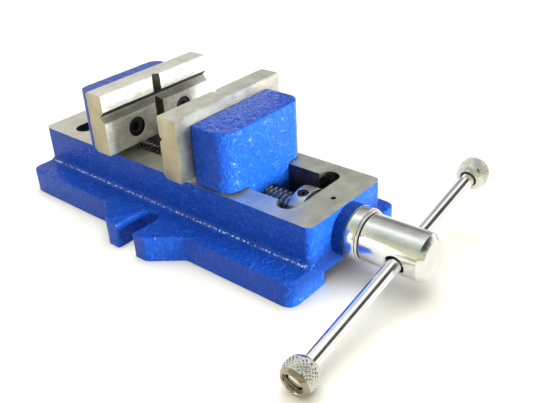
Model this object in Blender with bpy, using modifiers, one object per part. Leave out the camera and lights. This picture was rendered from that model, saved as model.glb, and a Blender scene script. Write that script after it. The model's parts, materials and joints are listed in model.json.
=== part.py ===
"""A machine vise with 50 mm jaws, built as separate pieces, in metres.

X runs along the lead screw towards the handle, Z is up, and Y = 0 is the middle of the vise.
The near side is -Y and the far side is +Y. The origin is on the underside, in the middle of
the rear foot. Pieces that touch keep a gap of GAP.
"""

from math import asin, cos, pi, radians, sin, sqrt, tan

import bmesh
import bpy
from mathutils import Matrix, Vector

MM = 0.001
GAP = 0.3 * MM
PAST = 1.0 * MM  # how far a cutter runs past the face it cuts
SMOOTH_ANGLE = radians(35)
WELD = 0.00001
MICRON_PLACES = 6
FLAT = radians(0.05)  # faces this close to level with each other are made one
SIDES = {"near": -1, "far": 1}

# Flats round a circle, by its size
TINY_ROUND = 12
SMALL_ROUND = 16
SCREW_ROUND = 20
MIDDLE_ROUND = 24
LARGE_ROUND = 32
TURNED_ROUND = 40
WIDE_ROUND = 48
CORNER_STEPS = 4
BLOCK_CORNER_STEPS = 5
SLOT_END_STEPS = 8
BALL_STEPS = 10

# Base casting
REAR_FOOT = 11.0 * MM
X_REAR = -REAR_FOOT / 2
BODY_LENGTH = 131.7 * MM
X_FRONT = X_REAR + BODY_LENGTH
BODY_HALF = 19.1 * MM
BODY_CORNER = 2.6 * MM
BED = 23.3 * MM
FLANGE_HALF = 29.1 * MM
FLANGE_HEIGHT = 9.25 * MM
FLANGE_CORNER = 3.8 * MM
ARCH_HALF = 12.5 * MM
ARCH_HEIGHT = 4.4 * MM
BOSS_RADIUS = 8.8 * MM
BOSS_LENGTH = 4.1 * MM
OIL_HOLE_RADIUS = 0.9 * MM
OIL_HOLE_INSET = 5.5 * MM

# Hold-down lugs, one on each side
X_LUG = X_REAR + 66.5 * MM
LUG_REACH = 37.6 * MM
LUG_ROOT_HALF = 20.4 * MM
LUG_TIP_HALF = 9.5 * MM
LUG_CORNER = 2.0 * MM
LUG_SLOT_WIDTH = 8.3 * MM
LUG_SLOT_END = 23.4 * MM
LUG_SLOT_TURN = 4.145 * MM  # just under half the slot's width, so that its two arcs stay apart

# Slot along the bed, and the recess under its rails
SLOT_HALF = 10.5 * MM
X_SLOT_REAR = X_REAR + REAR_FOOT
X_SLOT_FRONT = X_REAR + 120.3 * MM
RELIEF_RADIUS = 3.7 * MM
RECESS_HALF = 14.5 * MM
X_RECESS_REAR = X_REAR + 49.0 * MM

# Lead screw
AXIS_Z = 14.27 * MM
SCREW_RADIUS = 5.0 * MM
X_SCREW_TIP = X_REAR + 26.0 * MM
TIP_CHAMFER = 1.0 * MM
X_HEAD = X_REAR + 140.6 * MM
X_HEAD_END = X_REAR + 161.8 * MM
HEAD_RADIUS = 7.7 * MM
HEAD_CHAMFER = 1.1 * MM
HEAD_EDGE = 0.4 * MM
COLLAR_RADIUS = 8.7 * MM
COLLAR_EDGE = 0.5 * MM
RING_RADIUS = 8.9 * MM
RING_LENGTH = 5.2 * MM
RING_EDGE = 0.3 * MM
WASHER_RADIUS = 8.0 * MM
WASHER_LENGTH = 1.3 * MM
WASHER_EDGE = 0.1 * MM
SET_SCREW_RADIUS = 1.5 * MM
SET_SCREW_SUNK = 0.3 * MM
SET_SCREW_HEX = 1.5 * MM
SET_SCREW_LEAN = radians(14)

# Tommy bar, lying slightly askew in its loose hole with one ball near the table
X_BAR = X_REAR + 153.0 * MM
BAR_RADIUS = 2.4 * MM
BAR_HOLE_RADIUS = 3.0 * MM
BAR_TILT = radians(9.5)
BAR_SKEW = radians(1.2)
BALL_NEAR = 53.9 * MM
BALL_FAR = 42.8 * MM
BALL_RADIUS = 5.3 * MM
BALL_RIM = 3.9 * MM
BALL_RECESS = 3.3 * MM
BALL_RECESS_DEPTH = 1.0 * MM
BAR_END_SUNK = 1.3 * MM

# Jaw plates
PLATE_HALF = 25.0 * MM
PLATE_THICK = 8.0 * MM
PLATE_LOW = 26.3 * MM
PLATE_HIGH = 48.4 * MM
X_FIXED_FACE = X_REAR + 48.5 * MM
X_MOVING_FACE = X_REAR + 76.6 * MM
PLATE_FOOT_CHAMFER = 1.2 * MM
PLATE_TOP_CHAMFER = 0.4 * MM
V_HEIGHT = 40.4 * MM
FIXED_V_HALF = 2.1 * MM
MOVING_V_HALF = 1.15 * MM
V_DEPTH_RATIO = 0.95
UPRIGHT_V_HALF = 1.85 * MM
UPRIGHT_V_DEPTH = 1.8 * MM

# Jaw blocks
BLOCK_TOP = 44.7 * MM
FIXED_BLOCK_LENGTH = 13.8 * MM
FIXED_BLOCK_HALF = 19.0 * MM
FIXED_BLOCK_CORNER = 4.5 * MM
MOVING_BLOCK_LENGTH = 15.2 * MM
MOVING_BLOCK_HALF = 19.1 * MM
MOVING_BLOCK_CORNER = 5.5 * MM
BLOCK_FRONT_CORNER = 0.6 * MM
BLOCK_LIFT = 0.5 * MM
TONGUE_HALF = SLOT_HALF - GAP
TONGUE_TOP = 23.0 * MM
TONGUE_LEAD = 6.5 * MM

# M4 socket cap screws
M4_RADIUS = 2.0 * MM
M4_HEAD_RADIUS = 3.3 * MM
M4_HEAD_HEIGHT = 4.0 * MM
M4_HEX = 3.0 * MM
HEX_DEPTH = 2.0 * MM
HEAD_SUNK = 0.4 * MM
PLATE_SCREW_Y = 11.5 * MM
PLATE_SCREW_Z = 32.6 * MM
PLATE_SCREW_LENGTH = 10.0 * MM
JAW_BOLT_INSET = 5.1 * MM
JAW_BOLT_Y = 15.0 * MM
JAW_BOLT_SUNK = 0.6 * MM
JAW_BOLT_TOP = 29.0 * MM

# Nut, its pin, and the keeper plate under the rails
NUT_RADIUS = 7.2 * MM
NUT_LENGTH = 19.0 * MM
NUT_FLANGE_RADIUS = 8.4 * MM
NUT_FLANGE_LENGTH = 3.0 * MM
NUT_PIN_RADIUS = 1.0 * MM
NUT_PIN_SETBACK = 11.0 * MM
KEEPER_THICK = 2.9 * MM
KEEPER_HALF = RECESS_HALF - GAP
KEEPER_SCREW_Y = 7.9 * MM
KEEPER_SCREW_RADIUS = 1.25 * MM
KEEPER_SHANK_RADIUS = 1.249 * MM
KEEPER_SCREW_HEAD = 2.3 * MM
KEEPER_SCREW_TOP = 9.3 * MM
KEEPER_SCREW_HEX = 1.5 * MM
KEEPER_SCREW_HEX_DEPTH = 0.9 * MM

PAINT = ("blue_enamel", (0.03, 0.10, 0.55), 0.35, 0.0)
GROUND = ("ground_steel", (0.62, 0.60, 0.55), 0.35, 1.0)
POLISHED = ("polished_steel", (0.75, 0.75, 0.72), 0.15, 1.0)
BLACK = ("black_oxide_steel", (0.05, 0.05, 0.055), 0.45, 0.8)
BRIGHT = ("bright_screw_steel", (0.50, 0.48, 0.46), 0.3, 1.0)
BRONZE = ("bronze", (0.60, 0.40, 0.18), 0.4, 1.0)


# Modelling helpers


def clear_scene():
    for obj in list(bpy.data.objects):
        bpy.data.objects.remove(obj, do_unlink=True)
    for group in list(bpy.data.collections):
        bpy.data.collections.remove(group)


def new_collection(name):
    group = bpy.data.collections.new(name)
    bpy.context.scene.collection.children.link(group)
    return group


clear_scene()
PIECES = new_collection("machine_vise")
TOOLS = new_collection("cutters")


def material(name, colour, roughness, metallic):
    found = bpy.data.materials.get(name)
    if found:
        return found
    made = bpy.data.materials.new(name)
    made.use_nodes = True
    shader = made.node_tree.nodes["Principled BSDF"]
    shader.inputs["Base Color"].default_value = (*colour, 1.0)
    shader.inputs["Roughness"].default_value = roughness
    shader.inputs["Metallic"].default_value = metallic
    return made


def place(mesh, name, matrix=None):
    """A new object in the tools' collection; finish() moves it to the pieces."""
    obj = bpy.data.objects.new(name, mesh)
    TOOLS.objects.link(obj)
    obj.matrix_world = matrix or Matrix()
    obj.hide_render = True
    obj.display_type = "WIRE"
    return obj


def finish(obj, look, parent=None):
    """Make a shape a visible piece, with its material and the empty that it moves with."""
    TOOLS.objects.unlink(obj)
    PIECES.objects.link(obj)
    obj.hide_render = False
    obj.display_type = "TEXTURED"
    obj.data.materials.clear()
    obj.data.materials.append(material(*look))
    obj.data.shade_smooth()
    obj.data.set_sharp_from_angle(angle=SMOOTH_ANGLE)
    if parent:
        obj.parent = parent
        obj.matrix_parent_inverse = parent.matrix_world.inverted()
    return obj


def mesh_from(shape, name):
    mesh = bpy.data.meshes.new(name)
    shape.to_mesh(mesh)
    shape.free()
    return mesh


def box(name, low, high):
    low = Vector(low)
    high = Vector(high)
    shape = bmesh.new()
    stretch = Matrix.Diagonal((*(high - low), 1.0))
    bmesh.ops.create_cube(shape, size=1.0, matrix=stretch)
    return place(mesh_from(shape, name), name, Matrix.Translation((low + high) / 2))


def rod(name, start, end, radius, end_radius=None, sides=MIDDLE_ROUND):
    """A cylinder, or a cone, from one point to another."""
    start = Vector(start)
    along = Vector(end) - start
    shape = bmesh.new()
    bmesh.ops.create_cone(
        shape,
        cap_ends=True,
        segments=sides,
        radius1=radius,
        radius2=radius if end_radius is None else end_radius,
        depth=along.length,
    )
    turn = along.to_track_quat("Z", "Y").to_matrix().to_4x4()
    return place(mesh_from(shape, name), name, Matrix.Translation(start + along / 2) @ turn)


def hex_prism(name, start, end, across_flats):
    return rod(name, start, end, across_flats / 2 / cos(pi / 6), sides=6)


def rounded(corners, steps):
    """An outline through corners (a, b, radius), with an arc of that radius at each.

    Its points are rounded to a micron, so that faces meant to be flush are exactly flush.
    """
    points = []
    for i, (a, b, radius) in enumerate(corners):
        corner = Vector((a, b))
        if radius == 0:
            points.append(corner)
            continue
        to_last = (Vector(corners[i - 1][:2]) - corner).normalized()
        to_next = (Vector(corners[(i + 1) % len(corners)][:2]) - corner).normalized()
        half = to_last.angle(to_next) / 2
        centre = corner + (to_last + to_next).normalized() * radius / sin(half)
        start = corner + to_last * radius / tan(half) - centre
        end = corner + to_next * radius / tan(half) - centre
        for step in range(steps + 1):
            spoke = start.lerp(end, step / steps).normalized()
            points.append(centre + spoke * radius)
    return [(round(a, MICRON_PLACES), round(b, MICRON_PLACES)) for a, b in points]


def slab(name, outline, thickness, matrix):
    """A flat outline extruded by half its thickness to each side of the matrix's XY plane."""
    curve = bpy.data.curves.new(name, "CURVE")
    curve.dimensions = "2D"
    curve.fill_mode = "BOTH"
    curve.extrude = thickness / 2
    curve.resolution_u = 1
    curve.render_resolution_u = 0
    spline = curve.splines.new("POLY")
    spline.points.add(len(outline) - 1)
    for point, (a, b) in zip(spline.points, outline):
        point.co = (a, b, 0.0, 1.0)
    spline.use_cyclic_u = True
    drawn = place(curve, name, matrix)
    drawn.hide_render = False
    bpy.context.view_layer.update()
    evaluated = drawn.evaluated_get(bpy.context.evaluated_depsgraph_get())
    shape = bmesh.new()
    shape.from_mesh(bpy.data.meshes.new_from_object(evaluated))
    bmesh.ops.remove_doubles(shape, verts=shape.verts, dist=WELD)
    bmesh.ops.recalc_face_normals(shape, faces=shape.faces)
    bmesh.ops.dissolve_limit(shape, angle_limit=FLAT, verts=shape.verts, edges=shape.edges)
    made = place(mesh_from(shape, name), name, matrix)
    bpy.data.objects.remove(drawn)
    made.name = name
    return made


def flat_slab(name, outline, low, high):
    """An outline in X and Y, standing from one height to another."""
    return slab(name, outline, high - low, Matrix.Translation((0, 0, (low + high) / 2)))


def side_slab(name, outline, half_width):
    """An outline in X and Z, running across the vise to both sides of its middle."""
    return slab(name, outline, 2 * half_width, Matrix.Rotation(pi / 2, 4, "X"))


def turned(name, profile, matrix, sides):
    """A solid turned about the matrix's Z axis from a profile of (radius, height).

    The profile runs down its outer side. One that leaves the axis clear is a closed loop.
    """
    shape = bmesh.new()
    corners = [shape.verts.new((radius, 0.0, height)) for radius, height in profile]
    for first, second in zip(corners, corners[1:]):
        shape.edges.new((first, second))
    if profile[0][0] > 0:
        shape.edges.new((corners[-1], corners[0]))
    obj = place(mesh_from(shape, name), name, matrix)
    screw = obj.modifiers.new("turn", "SCREW")
    screw.steps = sides
    screw.render_steps = sides
    screw.use_merge_vertices = True
    screw.merge_threshold = WELD
    screw.use_smooth_shade = True
    return obj


def along_x(x):
    """A frame on the screw's axis whose Z runs along world X."""
    return Matrix.Translation((x, 0, AXIS_Z)) @ Matrix.Rotation(pi / 2, 4, "Y")


def washer_profile(inner, outer, low, high, edge):
    """The section of a ring with small chamfers on its outer edges."""
    return [
        (inner, high),
        (outer - edge, high),
        (outer, high - edge),
        (outer, low + edge),
        (outer - edge, low),
        (inner, low),
    ]


def combine(target, operation, shapes):
    for shape in shapes:
        step = target.modifiers.new(shape.name, "BOOLEAN")
        step.operation = operation
        step.solver = "EXACT"
        step.use_self = operation == "UNION"
        step.object = shape


def cut(target, *shapes):
    combine(target, "DIFFERENCE", shapes)


def unite(target, *shapes):
    combine(target, "UNION", shapes)


def empty(name, matrix, parent=None):
    made = bpy.data.objects.new(name, None)
    PIECES.objects.link(made)
    made.matrix_world = matrix
    if parent:
        made.parent = parent
        made.matrix_parent_inverse = parent.matrix_world.inverted()
    bpy.context.view_layer.update()
    return made


# Socket screws and their holes


def socket_screw(name, head_end, tip, look, parent=None):
    """An M4 cap screw from the outer end of its head to its tip, with a hexagon socket."""
    head_end = Vector(head_end)
    inwards = (Vector(tip) - head_end).normalized()
    head_base = head_end + inwards * M4_HEAD_HEIGHT
    screw = rod(name, head_end, head_base, M4_HEAD_RADIUS)
    shank = rod(name + "_shank", head_base - inwards * PAST, tip, M4_RADIUS, sides=SMALL_ROUND)
    outside = head_end - inwards * PAST
    socket = hex_prism(name + "_socket", outside, head_end + inwards * HEX_DEPTH, M4_HEX)
    unite(screw, shank)
    cut(screw, socket)
    return finish(screw, look, parent)


def stepped_hole(name, mouth, head_end, tip):
    """Cutters for a cap screw's head and shank, with GAP all round the screw."""
    mouth = Vector(mouth)
    inwards = (Vector(tip) - mouth).normalized()
    seat = Vector(head_end) + inwards * (M4_HEAD_HEIGHT + GAP)
    wide = rod(name + "_wide", mouth - inwards * PAST, seat, M4_HEAD_RADIUS + GAP)
    end = Vector(tip) + inwards * GAP
    narrow = rod(name + "_narrow", mouth, end, M4_RADIUS + GAP, sides=SMALL_ROUND)
    return wide, narrow


def plate_screw_line(side, x_face, inwards):
    """Mouth, head end and tip of a jaw plate's screw, which runs inwards along X."""
    y = side * PLATE_SCREW_Y
    head_end = x_face + inwards * HEAD_SUNK
    tip = head_end + inwards * (M4_HEAD_HEIGHT + PLATE_SCREW_LENGTH)
    return [(x, y, PLATE_SCREW_Z) for x in (x_face, head_end, tip)]


def jaw_bolt_line(side):
    """Mouth, head end and tip of a bolt that holds the fixed jaw down from beneath."""
    x = X_FIXED_FACE - PLATE_THICK - GAP - FIXED_BLOCK_LENGTH + JAW_BOLT_INSET
    return [(x, side * JAW_BOLT_Y, z) for z in (0.0, JAW_BOLT_SUNK, JAW_BOLT_TOP)]


# Base


def flange_outline():
    """The flange with a trapezoid lug on each side."""
    half = []
    half.append((X_REAR, -FLANGE_HALF, FLANGE_CORNER))
    half.append((X_LUG - LUG_ROOT_HALF, -FLANGE_HALF, LUG_CORNER))
    half.append((X_LUG - LUG_TIP_HALF, -LUG_REACH, LUG_CORNER))
    half.append((X_LUG + LUG_TIP_HALF, -LUG_REACH, LUG_CORNER))
    half.append((X_LUG + LUG_ROOT_HALF, -FLANGE_HALF, LUG_CORNER))
    half.append((X_FRONT, -FLANGE_HALF, FLANGE_CORNER))
    return rounded(half + [(x, -y, radius) for x, y, radius in reversed(half)], CORNER_STEPS)


def body_outline():
    corners = [(X_REAR, -BODY_HALF), (X_FRONT, -BODY_HALF)]
    corners += [(X_FRONT, BODY_HALF), (X_REAR, BODY_HALF)]
    return rounded([(x, y, BODY_CORNER) for x, y in corners], CORNER_STEPS)


def lug_slot(name, side):
    """A slot with a round inner end, open at the lug's outer face."""
    half = LUG_SLOT_WIDTH / 2
    outer = side * (LUG_REACH + PAST)
    inner = side * LUG_SLOT_END
    corners = [(X_LUG - half, outer, 0), (X_LUG - half, inner, LUG_SLOT_TURN)]
    corners += [(X_LUG + half, inner, LUG_SLOT_TURN), (X_LUG + half, outer, 0)]
    outline = rounded(corners, SLOT_END_STEPS)
    return flat_slab(name, outline, -PAST, FLANGE_HEIGHT + PAST)


def make_base():
    base = flat_slab("base_casting", flange_outline(), 0.0, FLANGE_HEIGHT)
    body = flat_slab("body", body_outline(), PAST, BED)
    boss_start = (X_FRONT - PAST, 0, AXIS_Z)
    boss_end = (X_FRONT + BOSS_LENGTH, 0, AXIS_Z)
    boss = rod("boss", boss_start, boss_end, BOSS_RADIUS, sides=WIDE_ROUND)
    unite(base, body, boss)

    slot_low = (X_SLOT_REAR, -SLOT_HALF, -PAST)
    slot = box("bed_slot", slot_low, (X_SLOT_FRONT, SLOT_HALF, BED + PAST))
    cut(base, slot)
    for name, side in SIDES.items():
        for end, x in (
            ("rear", X_SLOT_REAR + RELIEF_RADIUS),
            ("front", X_SLOT_FRONT - RELIEF_RADIUS),
        ):
            foot = (x, side * SLOT_HALF, -PAST)
            top = (x, side * SLOT_HALF, BED + PAST)
            cut(base, rod(f"relief_{end}_{name}", foot, top, RELIEF_RADIUS))
        cut(base, lug_slot(f"lug_slot_{name}", side))
        cut(base, *stepped_hole(f"jaw_bolt_hole_{name}", *jaw_bolt_line(side)))

    recess_low = (X_RECESS_REAR, -RECESS_HALF, -PAST)
    recess = box("rail_recess", recess_low, (X_SLOT_FRONT, RECESS_HALF, ARCH_HEIGHT))
    arch_low = (X_SLOT_FRONT - PAST, -ARCH_HALF, -PAST)
    arch = box("front_arch", arch_low, (X_FRONT + PAST, ARCH_HALF, ARCH_HEIGHT))
    bore_start = (X_SLOT_FRONT - PAST, 0, AXIS_Z)
    bore_end = (X_FRONT + BOSS_LENGTH + PAST, 0, AXIS_Z)
    bore = rod("journal_bore", bore_start, bore_end, SCREW_RADIUS + GAP, sides=LARGE_ROUND)
    x_oil = X_FRONT - OIL_HOLE_INSET
    oil = rod("oil_hole", (x_oil, 0, AXIS_Z), (x_oil, 0, BED + PAST), OIL_HOLE_RADIUS, sides=TINY_ROUND)
    cut(base, recess, arch, bore, oil)
    return finish(base, PAINT)


# Jaws


def block_outline(x_plate, x_back, half_width, back_corner):
    """A jaw block's plan: small corners at its plate, larger ones at its back."""
    corners = [
        (x_plate, -half_width, BLOCK_FRONT_CORNER),
        (x_back, -half_width, back_corner),
        (x_back, half_width, back_corner),
        (x_plate, half_width, BLOCK_FRONT_CORNER),
    ]
    return rounded(corners, BLOCK_CORNER_STEPS)


def plate_outline(x_face, x_back, v_half):
    """A plate's end view: the V across its working face, chamfers at its top and foot."""
    into = 1 if x_back > x_face else -1
    depth = into * v_half * V_DEPTH_RATIO
    top = into * PLATE_TOP_CHAMFER
    x_low = min(x_face, x_back)
    points = [
        (x_face, V_HEIGHT - v_half),
        (x_face + depth, V_HEIGHT),
        (x_face, V_HEIGHT + v_half),
        (x_face, PLATE_HIGH - PLATE_TOP_CHAMFER),
        (x_face + top, PLATE_HIGH),
        (x_back - top, PLATE_HIGH),
        (x_back, PLATE_HIGH - PLATE_TOP_CHAMFER),
    ]
    foot = [(x_back, PLATE_LOW), (x_face, PLATE_LOW)]
    for x, z in foot:
        if x == x_low:
            inset = [(x, z + PLATE_FOOT_CHAMFER), (x + PLATE_FOOT_CHAMFER, z)]
            points += inset if x == x_back else inset[::-1]
        else:
            points.append((x, z))
    return points


def make_plate(name, x_face, x_back, v_half, parent=None):
    plate = side_slab(name, plate_outline(x_face, x_back, v_half), PLATE_HALF)
    into = 1 if x_back > x_face else -1
    mouth = x_face - into * UPRIGHT_V_DEPTH
    wide = 2 * UPRIGHT_V_HALF
    groove = [(mouth, -wide), (x_face + into * UPRIGHT_V_DEPTH, 0.0), (mouth, wide)]
    cut(plate, flat_slab(name + "_upright_v", groove, PLATE_LOW - PAST, PLATE_HIGH + PAST))
    for side_name, side in SIDES.items():
        line = plate_screw_line(side, x_face, into)
        cut(plate, *stepped_hole(f"{name}_hole_{side_name}", *line))
    return finish(plate, GROUND, parent)


def make_fixed_jaw():
    x_plate_back = X_FIXED_FACE - PLATE_THICK
    x_plate = x_plate_back - GAP
    x_back = x_plate - FIXED_BLOCK_LENGTH
    outline = block_outline(x_plate, x_back, FIXED_BLOCK_HALF, FIXED_BLOCK_CORNER)
    block = flat_slab("fixed_jaw", outline, BED + GAP, BLOCK_TOP)
    for name, side in SIDES.items():
        cut(block, stepped_hole(f"fixed_block_bolt_{name}", *jaw_bolt_line(side))[1])
        screw_line = plate_screw_line(side, X_FIXED_FACE, -1)
        cut(block, stepped_hole(f"fixed_block_screw_{name}", *screw_line)[1])
        socket_screw(f"fixed_plate_screw_{name}", *screw_line[1:], BLACK)
        socket_screw(f"fixed_jaw_bolt_{name}", *jaw_bolt_line(side)[1:], BLACK)
    finish(block, PAINT)
    make_plate("fixed_jaw_plate", X_FIXED_FACE, x_plate_back, FIXED_V_HALF)


def tongue_ends():
    """Where the moving jaw's tongue starts, under its plate, and ends, flush with the block."""
    x_block = X_MOVING_FACE + PLATE_THICK + GAP
    return x_block - TONGUE_LEAD, x_block + MOVING_BLOCK_LENGTH


def nut_pin_line():
    x = tongue_ends()[0] + NUT_PIN_SETBACK
    z = AXIS_Z + NUT_RADIUS
    reach = TONGUE_HALF - GAP
    return (x, -reach, z), (x, reach, z)


def nut_pin_hole(name):
    start, end = nut_pin_line()
    beyond = Vector((0, PAST, 0))
    radius = NUT_PIN_RADIUS + GAP
    return rod(name, Vector(start) - beyond, Vector(end) + beyond, radius, sides=SMALL_ROUND)


def keeper_screw_place(side):
    x_start, x_end = tongue_ends()
    return (x_start + x_end) / 2, side * KEEPER_SCREW_Y


def make_moving_jaw(carriage):
    x_plate_back = X_MOVING_FACE + PLATE_THICK
    x_start, x_end = tongue_ends()
    outline = block_outline(
        x_plate_back + GAP, x_end, MOVING_BLOCK_HALF, MOVING_BLOCK_CORNER
    )
    jaw = flat_slab("moving_jaw", outline, BED + BLOCK_LIFT, BLOCK_TOP)
    tongue = box("tongue", (x_start, -TONGUE_HALF, ARCH_HEIGHT), (x_end, TONGUE_HALF, TONGUE_TOP))
    neck_low = (x_plate_back + GAP, -TONGUE_HALF, TONGUE_TOP - PAST)
    neck = box("tongue_neck", neck_low, (x_end, TONGUE_HALF, BED + 2 * PAST))
    unite(jaw, tongue, neck)

    flange_end = x_start + NUT_FLANGE_LENGTH + GAP
    nut_end = x_start + NUT_LENGTH + GAP
    before = (x_start - PAST, 0, AXIS_Z)
    flange_radius = NUT_FLANGE_RADIUS + GAP
    seat_end = (flange_end, 0, AXIS_Z)
    wide = rod("nut_flange_seat", before, seat_end, flange_radius, sides=LARGE_ROUND)
    seat = rod("nut_seat", before, (nut_end, 0, AXIS_Z), NUT_RADIUS + GAP, sides=LARGE_ROUND)
    bore = rod("tongue_bore", before, (x_end + PAST, 0, AXIS_Z), SCREW_RADIUS + GAP, sides=LARGE_ROUND)
    cut(jaw, wide, seat, bore, nut_pin_hole("jaw_pin_hole"))
    for name, side in SIDES.items():
        line = plate_screw_line(side, X_MOVING_FACE, 1)
        cut(jaw, stepped_hole(f"moving_block_screw_{name}", *line)[1])
        socket_screw(f"moving_plate_screw_{name}", *line[1:], BLACK, carriage)
        x, y = keeper_screw_place(side)
        foot = (x, y, ARCH_HEIGHT - PAST)
        top = (x, y, KEEPER_SCREW_TOP + GAP)
        cut(jaw, rod(f"tongue_tap_{name}", foot, top, KEEPER_SCREW_RADIUS + GAP, sides=SMALL_ROUND))
    finish(jaw, PAINT, carriage)
    make_plate("moving_jaw_plate", X_MOVING_FACE, x_plate_back, MOVING_V_HALF, carriage)


def make_nut(carriage):
    x_start = tongue_ends()[0]
    bore = SCREW_RADIUS + GAP
    profile = [
        (bore, NUT_LENGTH),
        (NUT_RADIUS, NUT_LENGTH),
        (NUT_RADIUS, NUT_FLANGE_LENGTH),
        (NUT_FLANGE_RADIUS, NUT_FLANGE_LENGTH),
        (NUT_FLANGE_RADIUS, 0.0),
        (bore, 0.0),
    ]
    nut = turned("leadscrew_nut", profile, along_x(x_start), LARGE_ROUND)
    cut(nut, nut_pin_hole("nut_groove"))
    finish(nut, BRONZE, carriage)
    pin = rod("nut_pin", *nut_pin_line(), NUT_PIN_RADIUS, sides=SMALL_ROUND)
    finish(pin, BRIGHT, carriage)


def make_keeper(carriage):
    """The plate under the rails, and its two countersunk screws."""
    x_start, x_end = tongue_ends()
    top = ARCH_HEIGHT - GAP
    low = top - KEEPER_THICK
    keeper = box("keeper_plate", (x_start, -KEEPER_HALF, low), (x_end, KEEPER_HALF, top))
    sink = KEEPER_SCREW_HEAD - KEEPER_SCREW_RADIUS
    head_low = low + GAP
    for name, side in SIDES.items():
        x, y = keeper_screw_place(side)
        hole = rod(
            f"keeper_hole_{name}",
            (x, y, low - PAST),
            (x, y, top + PAST),
            KEEPER_SCREW_RADIUS + GAP,
            sides=SMALL_ROUND,
        )
        wide = KEEPER_SCREW_HEAD + GAP + PAST
        start = (x, y, head_low - PAST)
        end = (x, y, head_low + sink)
        funnel = rod(f"keeper_funnel_{name}", start, end, wide, KEEPER_SCREW_RADIUS + GAP)
        cut(keeper, hole, funnel)

        screw = rod(
            f"keeper_screw_{name}",
            (x, y, head_low),
            (x, y, head_low + sink),
            KEEPER_SCREW_HEAD,
            KEEPER_SCREW_RADIUS,
        )
        shank_start = (x, y, head_low + sink / 2)
        shank = rod(
            f"keeper_shank_{name}",
            shank_start,
            (x, y, KEEPER_SCREW_TOP),
            KEEPER_SHANK_RADIUS,
            sides=SMALL_ROUND,
        )
        below = (x, y, head_low - PAST)
        socket_top = (x, y, head_low + KEEPER_SCREW_HEX_DEPTH)
        socket = hex_prism(f"keeper_socket_{name}", below, socket_top, KEEPER_SCREW_HEX)
        unite(screw, shank)
        cut(screw, socket)
        finish(screw, BLACK, carriage)
    finish(keeper, BRIGHT, carriage)


# Lead screw and what turns with it


def bar_direction():
    """The bar's axis, from its near end to its far end."""
    across = cos(BAR_SKEW)
    return Vector((-sin(BAR_SKEW), cos(BAR_TILT) * across, sin(BAR_TILT) * across))


def make_lead_screw(spindle):
    length = X_HEAD_END - X_SCREW_TIP
    head = X_HEAD - X_SCREW_TIP
    profile = [
        (0.0, length),
        (HEAD_RADIUS - HEAD_CHAMFER, length),
        (HEAD_RADIUS, length - HEAD_CHAMFER),
        (HEAD_RADIUS, head + HEAD_EDGE),
        (HEAD_RADIUS - HEAD_EDGE, head),
        (SCREW_RADIUS, head),
        (SCREW_RADIUS, TIP_CHAMFER),
        (SCREW_RADIUS - TIP_CHAMFER, 0.0),
        (0.0, 0.0),
    ]
    screw = turned("lead_screw", profile, along_x(X_SCREW_TIP), TURNED_ROUND)
    across = Vector((0, cos(BAR_TILT), sin(BAR_TILT))) * (HEAD_RADIUS + PAST)
    middle = Vector((X_BAR, 0, AXIS_Z))
    cut(screw, rod("bar_hole", middle - across, middle + across, BAR_HOLE_RADIUS, sides=LARGE_ROUND))
    finish(screw, BRIGHT, spindle)


def make_collars(spindle):
    bore = SCREW_RADIUS + GAP
    x_collar = X_FRONT + BOSS_LENGTH + GAP
    collar_length = X_HEAD - GAP - x_collar
    collar = washer_profile(bore, COLLAR_RADIUS, 0.0, collar_length, COLLAR_EDGE)
    finish(turned("thrust_collar", collar, along_x(x_collar), WIDE_ROUND), POLISHED, spindle)

    x_washer = X_SLOT_FRONT - GAP - WASHER_LENGTH
    washer = washer_profile(bore, WASHER_RADIUS, 0.0, WASHER_LENGTH, WASHER_EDGE)
    finish(turned("thrust_washer", washer, along_x(x_washer), LARGE_ROUND), BRIGHT, spindle)

    x_ring = x_washer - GAP - RING_LENGTH
    section = washer_profile(bore, RING_RADIUS, 0.0, RING_LENGTH, RING_EDGE)
    ring = turned("retaining_ring", section, along_x(x_ring), TURNED_ROUND)
    centre = Vector((x_ring + RING_LENGTH / 2, 0, AXIS_Z))
    outwards = Vector((0, -sin(SET_SCREW_LEAN), cos(SET_SCREW_LEAN)))
    inner = centre + outwards * (bore + GAP)
    outer = centre + outwards * (RING_RADIUS - SET_SCREW_SUNK)
    beyond = outwards * PAST
    cut(ring, rod("set_screw_hole", centre, outer + beyond, SET_SCREW_RADIUS + GAP, sides=SCREW_ROUND))
    finish(ring, BRIGHT, spindle)

    screw = rod("ring_set_screw", inner, outer, SET_SCREW_RADIUS, sides=SCREW_ROUND)
    socket_floor = outer - outwards * HEX_DEPTH
    cut(screw, hex_prism("set_screw_socket", socket_floor, outer + beyond, SET_SCREW_HEX))
    finish(screw, BLACK, spindle)


def ball_half_length():
    """From a ball's centre to its flat ends, whose rims have the radius BALL_RIM."""
    return sqrt(BALL_RADIUS**2 - BALL_RIM**2)


def ball_profile(outwards):
    """A ball with flat ends and a bore, and a recess at the end where the bar comes out."""
    rim = ball_half_length()
    bore = BAR_RADIUS + GAP
    widest = asin(rim / BALL_RADIUS)
    side = [
        (BALL_RADIUS * cos(angle), BALL_RADIUS * sin(angle))
        for angle in (widest - 2 * widest * i / BALL_STEPS for i in range(BALL_STEPS + 1))
    ]
    recess = rim - BALL_RECESS_DEPTH
    if outwards > 0:
        inside = [(bore, -rim), (bore, recess), (BALL_RECESS, recess), (BALL_RECESS, rim)]
    else:
        inside = [(BALL_RECESS, -rim), (BALL_RECESS, -recess), (bore, -recess), (bore, rim)]
    return side + inside


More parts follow.
